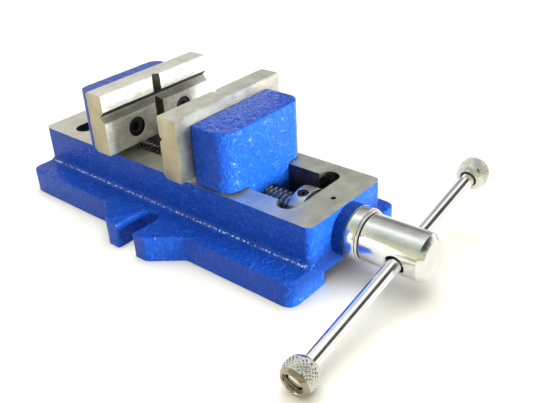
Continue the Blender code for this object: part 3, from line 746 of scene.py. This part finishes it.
def make_lead_screw():
    x_tip = SCREW_LOW.x
    x_end = SCREW_HIGH.x
    x_run_out = RING_LOW.x - PAST
    radius = (SCREW_HIGH.z - SCREW_LOW.z) / 2
    thread = left_hand_thread(x_tip, x_run_out, "lead_screw_turned")
    overlap = PAST / 2
    length = x_end - x_run_out + overlap
    head = X_HEAD - x_run_out + overlap
    edge = 0.25 * MM
    rear_edge = 0.15 * MM
    inset = HEAD_CHAMFER + 0.1 * MM
    profile = [(0.0, length)]
    profile += arc((radius - inset, length - edge), edge, 90, 45, 3)
    profile += arc((radius - edge, length - inset), edge, 45, 0, 3)
    profile += arc((radius - rear_edge, head + rear_edge), rear_edge, 0, -90, 3)
    profile += [(SCREW_RADIUS, head), (SCREW_RADIUS, 0.0), (0.0, 0.0)]
    body = lathe(profile, along_x(x_run_out - overlap), TURNED, "journal")
    spindle = unite(thread, body)
    place, _, _ = bar_frame()
    direction = place.to_3x3() @ Vector((0, 0, 1))
    direction.x = 0
    direction.normalize()
    middle = place.translation
    through = direction * 9 * MM
    tools = [rod(middle - through, middle + through, BAR_HOLE)]
    rim = radius - 0.35 * MM
    for sign in (-1, 1):
        outward = direction * sign
        start = middle + outward * (rim - 0.5 * MM)
        end = middle + outward * (rim + 1.5 * MM)
        tools.append(rod(start, end, BAR_HOLE - 0.1 * MM, end_radius=BAR_HOLE + 1.3 * MM))
    spindle = cut(spindle, *tools)

    def rule(centre, normal):
        return 0 if centre.x > X_HEAD - PAST / 2 else 1

    paint_by_rule(spindle, (LOOKS["polished"], LOOKS["thread"]), rule)
    return finish(smooth(spindle, TURNED_SHARP), "lead_screw")


def make_collar():
    length = COLLAR_HIGH.x - COLLAR_LOW.x
    radius = (COLLAR_HIGH.z - COLLAR_LOW.z) / 2
    bead = COLLAR_BEAD
    bead_inset = 0.75 * MM
    shoulder = 0.35 * MM
    edge = 0.3 * MM
    profile = [(BORE_RADIUS, length), (radius - bead_inset, length)]
    profile += arc((radius - bead_inset, length - bead), bead, 90, -70, 6)
    profile += [(radius - 2 * shoulder, length - 2.1 * bead)]
    profile += arc((radius - shoulder, length - 2.4 * bead - 0.2 * MM), shoulder, 100, 0, 5)
    profile += arc((radius - edge, edge), edge, 0, -90, 4)
    profile += [(BORE_RADIUS, 0.0)]
    collar = lathe(profile, along_x(COLLAR_LOW.x), FINE_TURNED, "thrust_collar_turned")
    paint(collar, LOOKS["polished"])
    return finish(smooth(collar), "thrust_collar")


def ring_shape(low, high, name, edge):
    length = high.x - low.x
    radius = (high.z - low.z) / 2
    profile = [(BORE_RADIUS, length)]
    profile += arc((radius - edge, length - edge), edge, 90, 0, 4)
    profile += arc((radius - edge, edge), edge, 0, -90, 4)
    profile += [(BORE_RADIUS, 0.0)]
    return lathe(profile, along_x(low.x), FINE_TURNED, name)


def make_ring():
    edge = 0.3 * MM
    ring = ring_shape(RING_LOW, RING_HIGH, "retaining_ring_turned", edge)
    low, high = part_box("ring_set_screw")
    centre = Vector(((RING_LOW.x + RING_HIGH.x) / 2, 0, AXIS_Z))
    outwards = (low + high) / 2 - centre
    outwards.x = 0
    outwards.normalize()
    outer = (RING_HIGH.z - RING_LOW.z) / 2
    mouth = centre + outwards * (outer - edge)
    hole = SET_SCREW_RADIUS + GAP
    tools = [
        rod(centre, centre + outwards * (outer + PAST), hole, ROUND),
        rod(mouth, mouth + outwards * PAST, hole - 0.05 * MM, ROUND, hole + 0.9 * MM),
    ]
    ring = cut(ring, *tools)
    paint(ring, LOOKS["milled_bright"])
    finish(smooth(ring), "retaining_ring")

    inner = BORE_RADIUS + GAP
    top = outer - edge
    turn = outwards.to_track_quat("Z", "X").to_matrix().to_4x4()
    place = Matrix.Translation(centre) @ turn
    radius = SET_SCREW_RADIUS
    profile = [(0.0, top), (radius - edge, top), (radius, top - edge)]
    profile += [(radius, inner + edge), (radius - edge, inner), (0.0, inner)]
    screw = lathe(profile, place, ROUND, "ring_set_screw_fine")
    corner = SET_SCREW_SOCKET / 2 / cos(pi / 6)
    socket = (centre + outwards * (top - 2 * MM), centre + outwards * (top + PAST))
    screw = cut(screw, rod(*socket, corner, 6))
    paint(screw, LOOKS["black"])
    finish(smooth(screw), "ring_set_screw")

    washer = ring_shape(WASHER_LOW, WASHER_HIGH, "thrust_washer_turned", 0.12 * MM)
    paint(washer, LOOKS["milled_bright"])
    finish(smooth(washer), "thrust_washer")


# Handle


def make_bar():
    place, near, far = bar_frame()
    radius = BAR_RADIUS
    past = sqrt(BALL_CAD_RADIUS**2 - BALL_FLAT**2) - BAR_END_INSET
    top = far + past
    bottom = near - past
    edge = 0.35 * MM
    profile = [(0.0, top)]
    profile += arc((radius - edge, top - edge), edge, 90, 0, 4)
    profile += arc((radius - edge, bottom + edge), edge, 0, -90, 4)
    profile += [(0.0, bottom)]
    bar = lathe(profile, place, TURNED, "tommy_bar_turned")
    paint(bar, LOOKS["chrome"])
    finish(smooth(bar), "tommy_bar")
    make_ball("handle_ball_near", place, near, -1)
    make_ball("handle_ball_far", place, far, 1)


def knurl(angle, height):
    """The depth, 0 to 1, of crossed cuts at a place on the ball."""
    round_ball = KNURL_COUNT * angle / (2 * pi)
    first = (round_ball + height / KNURL_PITCH) % 1.0
    second = (round_ball - height / KNURL_PITCH) % 1.0
    return max(abs(first - 0.5), abs(second - 0.5)) * 2


def make_ball(node, place, centre, outwards):
    """A ball with flat ends, a bore for the bar and a recess outside, knurled round its middle."""
    half = sqrt(BALL_RADIUS**2 - BALL_FLAT**2)
    bore = BALL_BORE
    recess = BALL_RECESS
    around = 240
    side = 56
    outline = []
    for i in range(side + 1):
        along = half - 2 * half * i / side
        outline.append((sqrt(BALL_RADIUS**2 - along**2), along, abs(along) / half < KNURL_HALF))
    lip = 0.2 * MM
    if outwards > 0:
        step = half - PAST
        inside = [(bore, -half + lip), (bore, step), (recess, step), (recess, half - lip)]
    else:
        step = PAST - half
        inside = [(recess, -half + lip), (recess, step), (bore, step), (bore, half - lip)]
    first_lip = (inside[0][0] + lip, -half, False)
    last_lip = (inside[-1][0] + lip, half, False)
    outline += [first_lip] + [(r, h, False) for r, h in inside] + [last_lip]
    shape = bmesh.new()
    rows = []
    for radius, along, rough in outline:
        row = []
        for j in range(around):
            angle = 2 * pi * j / around
            cut_in = 0.0
            if rough:
                fade = min(1.0, (KNURL_HALF - abs(along) / half) / 0.12)
                cut_in = KNURL_DEPTH * knurl(angle, along) ** 1.5 * fade
            r = radius - cut_in
            row.append(shape.verts.new((r * cos(angle), r * sin(angle), centre + along)))
        rows.append(row)
    for first, second in zip(rows, rows[1:] + rows[:1]):
        for j in range(around):
            k = (j + 1) % around
            shape.faces.new((first[j], first[k], second[k], second[j]))
    bmesh.ops.recalc_face_normals(shape, faces=shape.faces)
    shape.transform(place)
    made = mesh_object(shape, node + "_knurled")
    axis = place.to_3x3() @ Vector((0, 0, 1))
    middle = place @ Vector((0, 0, centre))

    # The ball's ends and bore take brown-tinted steel: a painted warm reflection
    def rule(point, normal):
        at_end = (point - middle).dot(axis) * outwards > (KNURL_HALF + 0.03) * half
        in_bore = (point - middle).cross(axis).length < BALL_RECESS + 0.05 * MM
        return 1 if at_end or in_bore else 0

    paint_by_rule(made, (LOOKS["knurled"], LOOKS["ball_end"]), rule)
    return finish(smooth(made, KNURL_SHARP), node)


# Hidden pieces keep their CAD meshes and only take a new material


def keep_shape(node, look):
    obj = frame["nodes"][node]
    for slot in obj.material_slots:
        slot.material = look
    return obj


def finish(obj, node):
    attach(obj, BODY_OF[node])
    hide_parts(node)
    return obj


# Materials


class Nodes:
    """A node tree, with short ways to add and join its nodes."""

    def __init__(self, tree):
        self.tree = tree

    def link(self, output, target):
        self.tree.links.new(output, target)

    def maths(self, operation, *values):
        node = self.tree.nodes.new("ShaderNodeMath")
        node.operation = operation
        for socket, value in zip(node.inputs, values):
            if isinstance(value, float):
                socket.default_value = value
            else:
                self.link(value, socket)
        return node.outputs["Value"]

    def ramp(self, value, stops):
        node = self.tree.nodes.new("ShaderNodeValToRGB")
        elements = node.color_ramp.elements
        while len(elements) < len(stops):
            elements.new(0.5)
        for element, (position, colour) in zip(elements, stops):
            element.position = position
            element.color = (*colour, 1.0)
        self.link(value, node.inputs["Fac"])
        return node.outputs["Color"]

    def mix(self, under, colour, part):
        """The colour laid over what is under it, as far as part, 0 to 1, says."""
        node = self.tree.nodes.new("ShaderNodeMix")
        node.data_type = "RGBA"
        first, second = [socket for socket in node.inputs if socket.type == "RGBA"]
        second.default_value = (*colour, 1.0)
        self.link(part, node.inputs["Factor"])
        self.link(under, first)
        return next(socket for socket in node.outputs if socket.type == "RGBA")


class Tree(Nodes):
    """A material's node tree."""

    def __init__(self, name):
        self.material = bpy.data.materials.new(name)
        self.material.use_nodes = True
        super().__init__(self.material.node_tree)
        self.shader = self.tree.nodes["Principled BSDF"]
        coordinates = self.tree.nodes.new("ShaderNodeTexCoord")
        self.place = coordinates.outputs["Object"]

    def stretch(self, scale):
        node = self.tree.nodes.new("ShaderNodeMapping")
        node.inputs["Scale"].default_value = scale
        self.link(self.place, node.inputs["Vector"])
        return node.outputs["Vector"]

    def noise(self, size, detail=2.0, rough=0.5, where=None, shift=0.0, distortion=0.0):
        """Noise whose patches are about size metres across."""
        node = self.tree.nodes.new("ShaderNodeTexNoise")
        node.noise_dimensions = "4D"
        node.inputs["W"].default_value = shift
        node.inputs["Scale"].default_value = 1 / size
        node.inputs["Detail"].default_value = detail
        node.inputs["Roughness"].default_value = rough
        node.inputs["Distortion"].default_value = distortion
        self.link(where or self.place, node.inputs["Vector"])
        return node.outputs["Fac"]

    def spread(self, value, low, high, from_low=0.3, from_high=0.7):
        node = self.tree.nodes.new("ShaderNodeMapRange")
        node.inputs["From Min"].default_value = from_low
        node.inputs["From Max"].default_value = from_high
        node.inputs["To Min"].default_value = low
        node.inputs["To Max"].default_value = high
        self.link(value, node.inputs["Value"])
        return node.outputs["Result"]

    def bump(self, height, distance, strength=1.0, under=None):
        node = self.tree.nodes.new("ShaderNodeBump")
        node.inputs["Distance"].default_value = distance
        node.inputs["Strength"].default_value = strength
        self.link(height, node.inputs["Height"])
        if under:
            self.link(under, node.inputs["Normal"])
        return node.outputs["Normal"]

    def set(self, **values):
        for name, value in values.items():
            title = name if name == "IOR" else name.replace("_", " ").title().replace("Ior", "IOR")
            socket = self.shader.inputs[title]
            if isinstance(value, bpy.types.NodeSocket):
                self.link(value, socket)
            else:
                socket.default_value = value
        return self.material


def enamel(name, depth=1.0, painted_glints=False):
    """Thick blue paint with a wrinkled skin, its colour lighter on the wrinkle crests as a painted highlight. A
    depth below 1 darkens the colour as painted shade, and the last option mixes in bright spots as painted glints.
    """
    # depth scales the colour; below 1 it is painted shade
    low = Vector((0.006, 0.046, 0.355)) * depth
    high = Vector((0.012, 0.069, 0.475)) * depth
    t = Tree(name)
    wave = t.noise(2.3 * MM, 1.5, 0.5, None, 0.0, 0.9)
    ridge = t.maths("ABSOLUTE", t.maths("SUBTRACT", wave, 0.5), 0.0)
    grit = t.noise(0.7 * MM, 1.0, 0.5, None, 4.0)
    # Lighter colour on the wrinkle crests is a painted highlight; the wave adds random tone
    crest_highlight_and_tone = t.maths("ADD", t.maths("MULTIPLY", ridge, 3.2), t.maths("MULTIPLY", wave, 0.6))
    colour = t.ramp(crest_highlight_and_tone, [(0.28, tuple(low)), (0.80, tuple(high))])
    # Bright blue-white spots mixed into the colour are painted glints
    if painted_glints:
        glint_spot = t.spread(t.noise(0.7 * MM, 2.0, 0.6, None, 6.0), 0.0, 1.0, 0.48, 0.62)
        colour = t.mix(colour, (0.40, 0.52, 0.86), glint_spot)
    rough = t.spread(t.noise(3 * MM, 2.0, 0.5, None, 2.0), 0.07, 0.13)
    normal = t.bump(ridge, 1.05 * MM, 1.0)
    normal = t.bump(wave, 0.35 * MM, 0.9, normal)
    normal = t.bump(grit, 0.06 * MM, 0.6, normal)
    return t.set(base_color=colour, roughness=rough, normal=normal, specular_ior_level=0.20, IOR=1.34)


def steel(name, dark, light, stretch, rough, scratch=0.02, grain=0.0, blotch=6 * MM, metallic=1.0):
    """Ground or milled steel: fine lines along one axis, with soft blotches and an even grain."""
    t = Tree(name)
    lines = t.noise(0.35 * MM, 3.0, 0.6, t.stretch(stretch))
    cloud = t.noise(blotch, 4.0, 0.6, None, 3.0)
    both = t.maths("ADD", t.maths("MULTIPLY", lines, 0.35), t.maths("MULTIPLY", cloud, 0.65))
    colour = t.ramp(both, [(0.35, dark), (0.62, light)])
    value = t.spread(both, rough[0], rough[1], 0.35, 0.65)
    values = {"base_color": colour, "roughness": value, "metallic": metallic}
    normal = None
    if scratch:
        normal = t.bump(lines, scratch * MM, 0.5)
    if grain:
        normal = t.bump(t.noise(0.55 * MM, 2.0, 0.6, None, 9.0), grain * MM, 0.6, normal)
    if normal:
        values["normal"] = normal
    return t.set(**values)


def black_oxide():
    t = Tree("black_oxide_steel")
    cloud = t.noise(1.4 * MM, 3.0)
    colour = t.ramp(cloud, [(0.3, (0.018, 0.018, 0.02)), (0.75, (0.05, 0.05, 0.055))])
    rough = t.spread(cloud, 0.32, 0.5)
    normal = t.bump(t.noise(0.3 * MM, 2.0), 0.02 * MM, 0.4)
    return t.set(base_color=colour, roughness=rough, normal=normal, metallic=0.7)


def make_looks():
    along_x_lines = (0.04, 1.0, 1.0)
    along_y_lines = (1.0, 0.04, 1.0)
    along_z_lines = (1.0, 1.0, 0.04)
    even = (1.0, 1.0, 1.0)
    return {
        "enamel": enamel("blue_enamel"),
        # Enamel with bright spots painted in as glints, for the fillet at the body's foot
        "fillet": enamel("blue_enamel_fillet_painted_glints", 1.0, True),
        # Enamel at 0.55 of its colour: painted shade on the boss
        "boss": enamel("blue_enamel_boss_painted_shade", 0.55),
        "bed": steel(
            "ground_bed", (0.44, 0.425, 0.385), (0.62, 0.60, 0.545),
            along_y_lines, (0.30, 0.42), 0.02, 0.02, 6 * MM, 0.85,
        ),
        # Near-black machined iron for the slot walls, holes, bore and hidden machined faces: a darker copy of the
        # bed's iron, painted shade
        "milled": steel(
            "milled_iron_painted_shade", (0.07, 0.07, 0.075), (0.18, 0.18, 0.18),
            along_x_lines, (0.35, 0.55), 0.04,
        ),
        "milled_bright": steel(
            "machined_steel", (0.36, 0.37, 0.39), (0.60, 0.60, 0.62),
            along_y_lines, (0.22, 0.4),
        ),
        "ground": steel(
            "ground_steel", (0.42, 0.41, 0.375), (0.64, 0.63, 0.58),
            along_y_lines, (0.34, 0.48), 0.05, 0.26, 6 * MM, 0.60,
        ),
        # Less metallic, more diffuse copy of the ground steel that lifts the fixed plate's working face: painted
        # light
        "ground_face_painted_light": steel(
            "ground_face_painted_light", (0.38, 0.37, 0.335), (0.66, 0.65, 0.60),
            along_y_lines, (0.34, 0.48), 0.05, 0.55, 3 * MM, 0.40,
        ),
        # Darker copy of the ground steel for the moving plate's back: painted shade
        "ground_back_painted_shade": steel(
            "ground_back_painted_shade", (0.30, 0.29, 0.27), (0.50, 0.49, 0.45),
            along_y_lines, (0.36, 0.50), 0.05, 0.26, 6 * MM, 0.92,
        ),
        # End steel with upright finishing lines; its tan tint is a painted warm reflection
        "sawn_ends_painted_reflection": steel(
            "ground_ends_painted_reflection", (0.33, 0.285, 0.19), (0.45, 0.40, 0.28),
            along_z_lines, (0.38, 0.5), 0.03, 0.08,
        ),
        "flank": steel(
            "groove_flank", (0.28, 0.28, 0.26), (0.42, 0.41, 0.38),
            along_y_lines, (0.38, 0.5), 0.03, 0.05, 6 * MM, 0.75,
        ),
        "groove": steel(
            "groove_shade", (0.025, 0.024, 0.02), (0.07, 0.066, 0.055),
            along_y_lines, (0.35, 0.5),
        ),
        "polished": steel(
            "polished_steel", (0.66, 0.66, 0.65), (0.80, 0.80, 0.79),
            along_y_lines, (0.12, 0.20), 0.0,
        ),
        # Brown-tinted steel for the ball ends: painted reflection
        "ball_end": steel(
            "ball_end_painted_reflection", (0.26, 0.22, 0.16), (0.50, 0.45, 0.36),
            even, (0.14, 0.26),
        ),
        "chrome": steel(
            "polished_bar", (0.78, 0.78, 0.79), (0.90, 0.90, 0.90),
            even, (0.14, 0.22), 0.0,
        ),
        "knurled": steel(
            "knurled_steel", (0.50, 0.48, 0.44), (0.78, 0.76, 0.72),
            even, (0.16, 0.28), 0.005,
        ),
        "thread": steel(
            "thread_steel", (0.20, 0.19, 0.19), (0.40, 0.39, 0.38),
            along_y_lines, (0.2, 0.38), 0.02,
        ),
        "black": black_oxide(),
        "bronze": steel("nut_bronze", (0.38, 0.23, 0.09), (0.62, 0.42, 0.18), even, (0.25, 0.45)),
    }


# Camera, lights and floor


# The camera's place, axes and lens are what a fit to the photo's straight edges gave
CAMERA_PLACE = (0.23842, -0.16074, 0.13755)
CAMERA_BACK = (0.58252, -0.64182, 0.49873)
CAMERA_UP = (-0.2882, 0.4108, 0.8650)
LENS = 49.54

FLOOR_SIZE = 6.0
FLOOR_DROP = 0.0001
WALL_RADIUS = 5.8
WALL_HEIGHT = 8.0
WALL_MIDDLE = 3.9

VISE_MIDDLE = Vector((0.06, 0.0, 0.02))
LAMP_DISTANCE = 1.5
FROM_FRONT = (0.97, 0.10, 0.11)
FROM_FAR_SIDE = (0.70, 0.68, 0.16)
FROM_ABOVE = (0.0, 0.2, 1.0)
KEY_SIZE = (0.8, 0.6)
KEY_POWER = 98.0
KEY_GREEN = (1.05, 1.24, 0.87)
KEY_POWER_ON_STEEL = 102.0
KEY_POWER_ON_PLATE = 20.0
FLOOR_LIGHT = 1.25
FILL_POWER = 3.0


def make_stage():
    scene = bpy.context.scene
    scene.view_settings.view_transform = "Standard"
    scene.view_settings.look = "None"
    scene.camera = make_camera()
    ground = make_floor()
    make_backdrop()
    make_sky(scene)
    make_lights(scene, ground)


def make_camera():
    back = Vector(CAMERA_BACK).normalized()
    up = Vector(CAMERA_UP).normalized()
    right = up.cross(back).normalized()
    up = back.cross(right)
    camera = bpy.data.cameras.new("camera")
    camera.sensor_width = 36.0
    camera.lens = LENS
    camera.clip_start = 0.01
    camera.clip_end = 20.0
    holder = link(bpy.data.objects.new("camera", camera))
    turn = Matrix((right, up, back)).transposed().to_4x4()
    holder.matrix_world = Matrix.Translation(CAMERA_PLACE) @ turn
    return holder


def make_floor():
    floor_mesh = bmesh.new()
    bmesh.ops.create_grid(floor_mesh, x_segments=1, y_segments=1, size=FLOOR_SIZE)
    ground = mesh_object(floor_mesh, "floor", Matrix.Translation((0, 0, -FLOOR_DROP)))
    t = Tree("pale_floor")
    shade = t.ramp(t.noise(0.3, 2.0), [(0.3, (0.91, 0.875, 0.81)), (0.7, (0.95, 0.915, 0.85))])
    ground.data.materials.append(t.set(base_color=shade, roughness=0.6))
    return ground


def make_lights(scene, ground):
    """Lamps that each light only some of the pieces, the paint's tinted green, and a weak fill on all."""
    meshes = [obj for obj in scene.collection.all_objects if obj.type == "MESH"]
    pieces = [obj for obj in meshes if obj.name not in ("floor", "backdrop")]
    painted = [obj for obj in pieces if obj.name.endswith("_skin")]
    plate = [obj for obj in pieces if obj.name.startswith("moving_jaw_plate")]
    others = [obj for obj in pieces if obj not in painted + plate]
    ground_steel = [obj for obj in others if not obj.name.endswith(("_turned", "_knurled"))]
    key = lamp("key", FROM_FRONT, LAMP_DISTANCE, KEY_SIZE, KEY_POWER, KEY_GREEN)
    light_only(key, painted)
    key_on_steel = lamp("key_on_steel", FROM_FRONT, LAMP_DISTANCE, KEY_SIZE, KEY_POWER_ON_STEEL)
    light_only(key_on_steel, ground_steel)
    key_on_plate = lamp("key_on_plate", FROM_FAR_SIDE, LAMP_DISTANCE, (0.6, 0.6), KEY_POWER_ON_PLATE)
    light_only(key_on_plate, plate)
    even_light = bpy.data.lights.new("floor_light", "SUN")
    even_light.energy = FLOOR_LIGHT
    even_light.angle = radians(70)
    light_only(link(bpy.data.objects.new("floor_light", even_light)), [ground])
    fill = lamp("fill", FROM_ABOVE, 1.0, (0.8, 0.8), FILL_POWER)
    fill.visible_glossy = False


def make_backdrop():
    """A bright wall far off all round, seen by the camera alone, so no horizon shows in low views."""
    wall = bmesh.new()
    both = {"radius1": WALL_RADIUS, "radius2": WALL_RADIUS}
    bmesh.ops.create_cone(wall, cap_ends=False, segments=ROUND, depth=WALL_HEIGHT, **both)
    bmesh.ops.reverse_faces(wall, faces=wall.faces)
    backdrop = mesh_object(wall, "backdrop", Matrix.Translation((0, 0, WALL_MIDDLE)))
    t = Tree("pale_backdrop")
    shade = t.ramp(t.noise(0.8, 2.0), [(0.3, (0.96, 0.96, 0.96)), (0.7, (1.0, 1.0, 1.0))])
    glow = t.set(base_color=shade, roughness=0.8, emission_color=shade, emission_strength=1.0)
    backdrop.data.materials.append(glow)
    backdrop.visible_diffuse = False
    backdrop.visible_glossy = False
    backdrop.visible_shadow = False


def light_only(light, pieces):
    """Light linking: the light falls on these pieces and on no others."""
    group = bpy.data.collections.new(light.name + "_pieces")
    for piece in pieces:
        group.objects.link(piece)
    light.light_linking.receiver_collection = group


def lamp(name, direction, distance, size, power, colour=(1.0, 1.0, 1.0)):
    """A soft rectangular lamp that faces the middle of the vise."""
    data = bpy.data.lights.new(name, "AREA")
    data.shape = "RECTANGLE"
    data.size, data.size_y = size
    data.energy = power
    data.color = colour
    light = link(bpy.data.objects.new(name, data))
    direction = Vector(direction).normalized()
    light.location = VISE_MIDDLE + direction * distance
    light.rotation_mode = "QUATERNION"
    light.rotation_quaternion = (-direction).to_track_quat("-Z", "Y")
    return light


# The room seen in the steel: brightness by the angle from the far horizon, over the top, to the near one.
# Most stops began as colours sampled from the screw head in the photo, made linear and divided by the
# steel's own brightness: 8, 27, 48, 67, 86, 107, 127, 147 and 166. Those at 27 and 86 were changed since.
ROOM = [
    (0, (0.52, 0.52, 0.50)),
    (8, (0.50, 0.49, 0.50)),
    (20, (0.22, 0.22, 0.22)),
    (27, (0.23, 0.23, 0.22)),
    (36, (0.42, 0.41, 0.38)),
    (48, (0.50, 0.52, 0.50)),
    (67, (0.68, 0.72, 0.70)),
    (86, (1.40, 1.44, 1.40)),
    (107, (0.74, 0.84, 0.78)),
    (127, (0.52, 0.60, 0.49)),
    (147, (0.78, 0.75, 0.52)),
    (166, (0.90, 0.82, 0.56)),
    (172, (0.60, 0.54, 0.40)),
    (175, (0.20, 0.20, 0.19)),
    (180, (0.20, 0.20, 0.19)),
]
REAR_GLOW = (1.16, 1.14, 1.00)
WINDOW = (1.30, 1.30, 1.28)
DARK_LINE = (0.30, 0.30, 0.27)
DARK_SPOT = (0.07, 0.075, 0.06)
SIDE_WINDOW = (4.5, 4.5, 4.3)
SIDE_DIRECTION = (-0.58, -0.80, 0.13)
SPOT_DIRECTIONS = ((0.39, 0.64, 0.66), (0.62, 0.33, 0.70), (0.76, -0.03, 0.66))


class Sky(Nodes):
    """The world's node tree: colours laid over each other by where they are in the sky."""

    def __init__(self, world):
        super().__init__(world.node_tree)
        where = self.tree.nodes.new("ShaderNodeTexCoord")
        self.direction = where.outputs["Generated"]
        split = self.tree.nodes.new("ShaderNodeSeparateXYZ")
        self.link(self.direction, split.inputs["Vector"])
        self.x, self.y, self.z = split.outputs

    def rise(self, value, start, end):
        """0 up to start, 1 from end on."""
        node = self.tree.nodes.new("ShaderNodeMapRange")
        node.interpolation_type = "SMOOTHSTEP"
        node.inputs["From Min"].default_value = start
        node.inputs["From Max"].default_value = end
        self.link(value, node.inputs["Value"])
        return node.outputs["Result"]

    def nearness(self, direction):
        node = self.tree.nodes.new("ShaderNodeVectorMath")
        node.operation = "DOT_PRODUCT"
        node.inputs[1].default_value = Vector(direction).normalized()
        self.link(self.direction, node.inputs[0])
        return node.outputs["Value"]


def make_sky(scene):
    world = bpy.data.worlds.new("studio")
    world.use_nodes = True
    scene.world = world
    sky = Sky(world)
    angle = sky.maths("DIVIDE", sky.maths("ARCTAN2", sky.z, sky.y), pi)
    colour = sky.ramp(angle, [(degrees / 180, shade) for degrees, shade in ROOM])
    colour = sky.mix(colour, REAR_GLOW, sky.rise(sky.x, -0.60, -0.78))
    to_right = sky.rise(sky.x, -0.38, -0.12)
    window = sky.maths("MULTIPLY", to_right, sky.rise(sky.y, 0.0, 0.3))
    colour = sky.mix(colour, WINDOW, window)
    low = sky.maths("MULTIPLY", sky.rise(sky.z, 0.08, 0.03), sky.rise(sky.x, 0.0, 0.2))
    colour = sky.mix(colour, DARK_LINE, low)
    colour = sky.mix(colour, SIDE_WINDOW, sky.rise(sky.nearness(SIDE_DIRECTION), 0.975, 0.990))
    for direction in SPOT_DIRECTIONS:
        colour = sky.mix(colour, DARK_SPOT, sky.rise(sky.nearness(direction), 0.92, 0.97))
    sky.link(colour, sky.tree.nodes["Background"].inputs["Color"])


LOOKS = make_looks()
make_base()
make_fixed_jaw()
make_moving_jaw()
make_plate("fixed_jaw_plate", True, FIXED_V_HALF)
make_plate("moving_jaw_plate", False, MOVING_V_HALF)
for side_name in SIDES:
    make_cap_screw(f"fixed_plate_screw_{side_name}", 0, False)
    make_cap_screw(f"moving_plate_screw_{side_name}", 0, True)
    make_cap_screw(f"fixed_jaw_bolt_{side_name}", 2, True)
    keep_shape(f"keeper_screw_{side_name}", LOOKS["black"])
make_lead_screw()
make_collar()
make_ring()
make_bar()
keep_shape("leadscrew_nut", LOOKS["bronze"])
keep_shape("nut_pin", LOOKS["milled_bright"])
keep_shape("keeper_plate", LOOKS["milled_bright"])
make_stage()
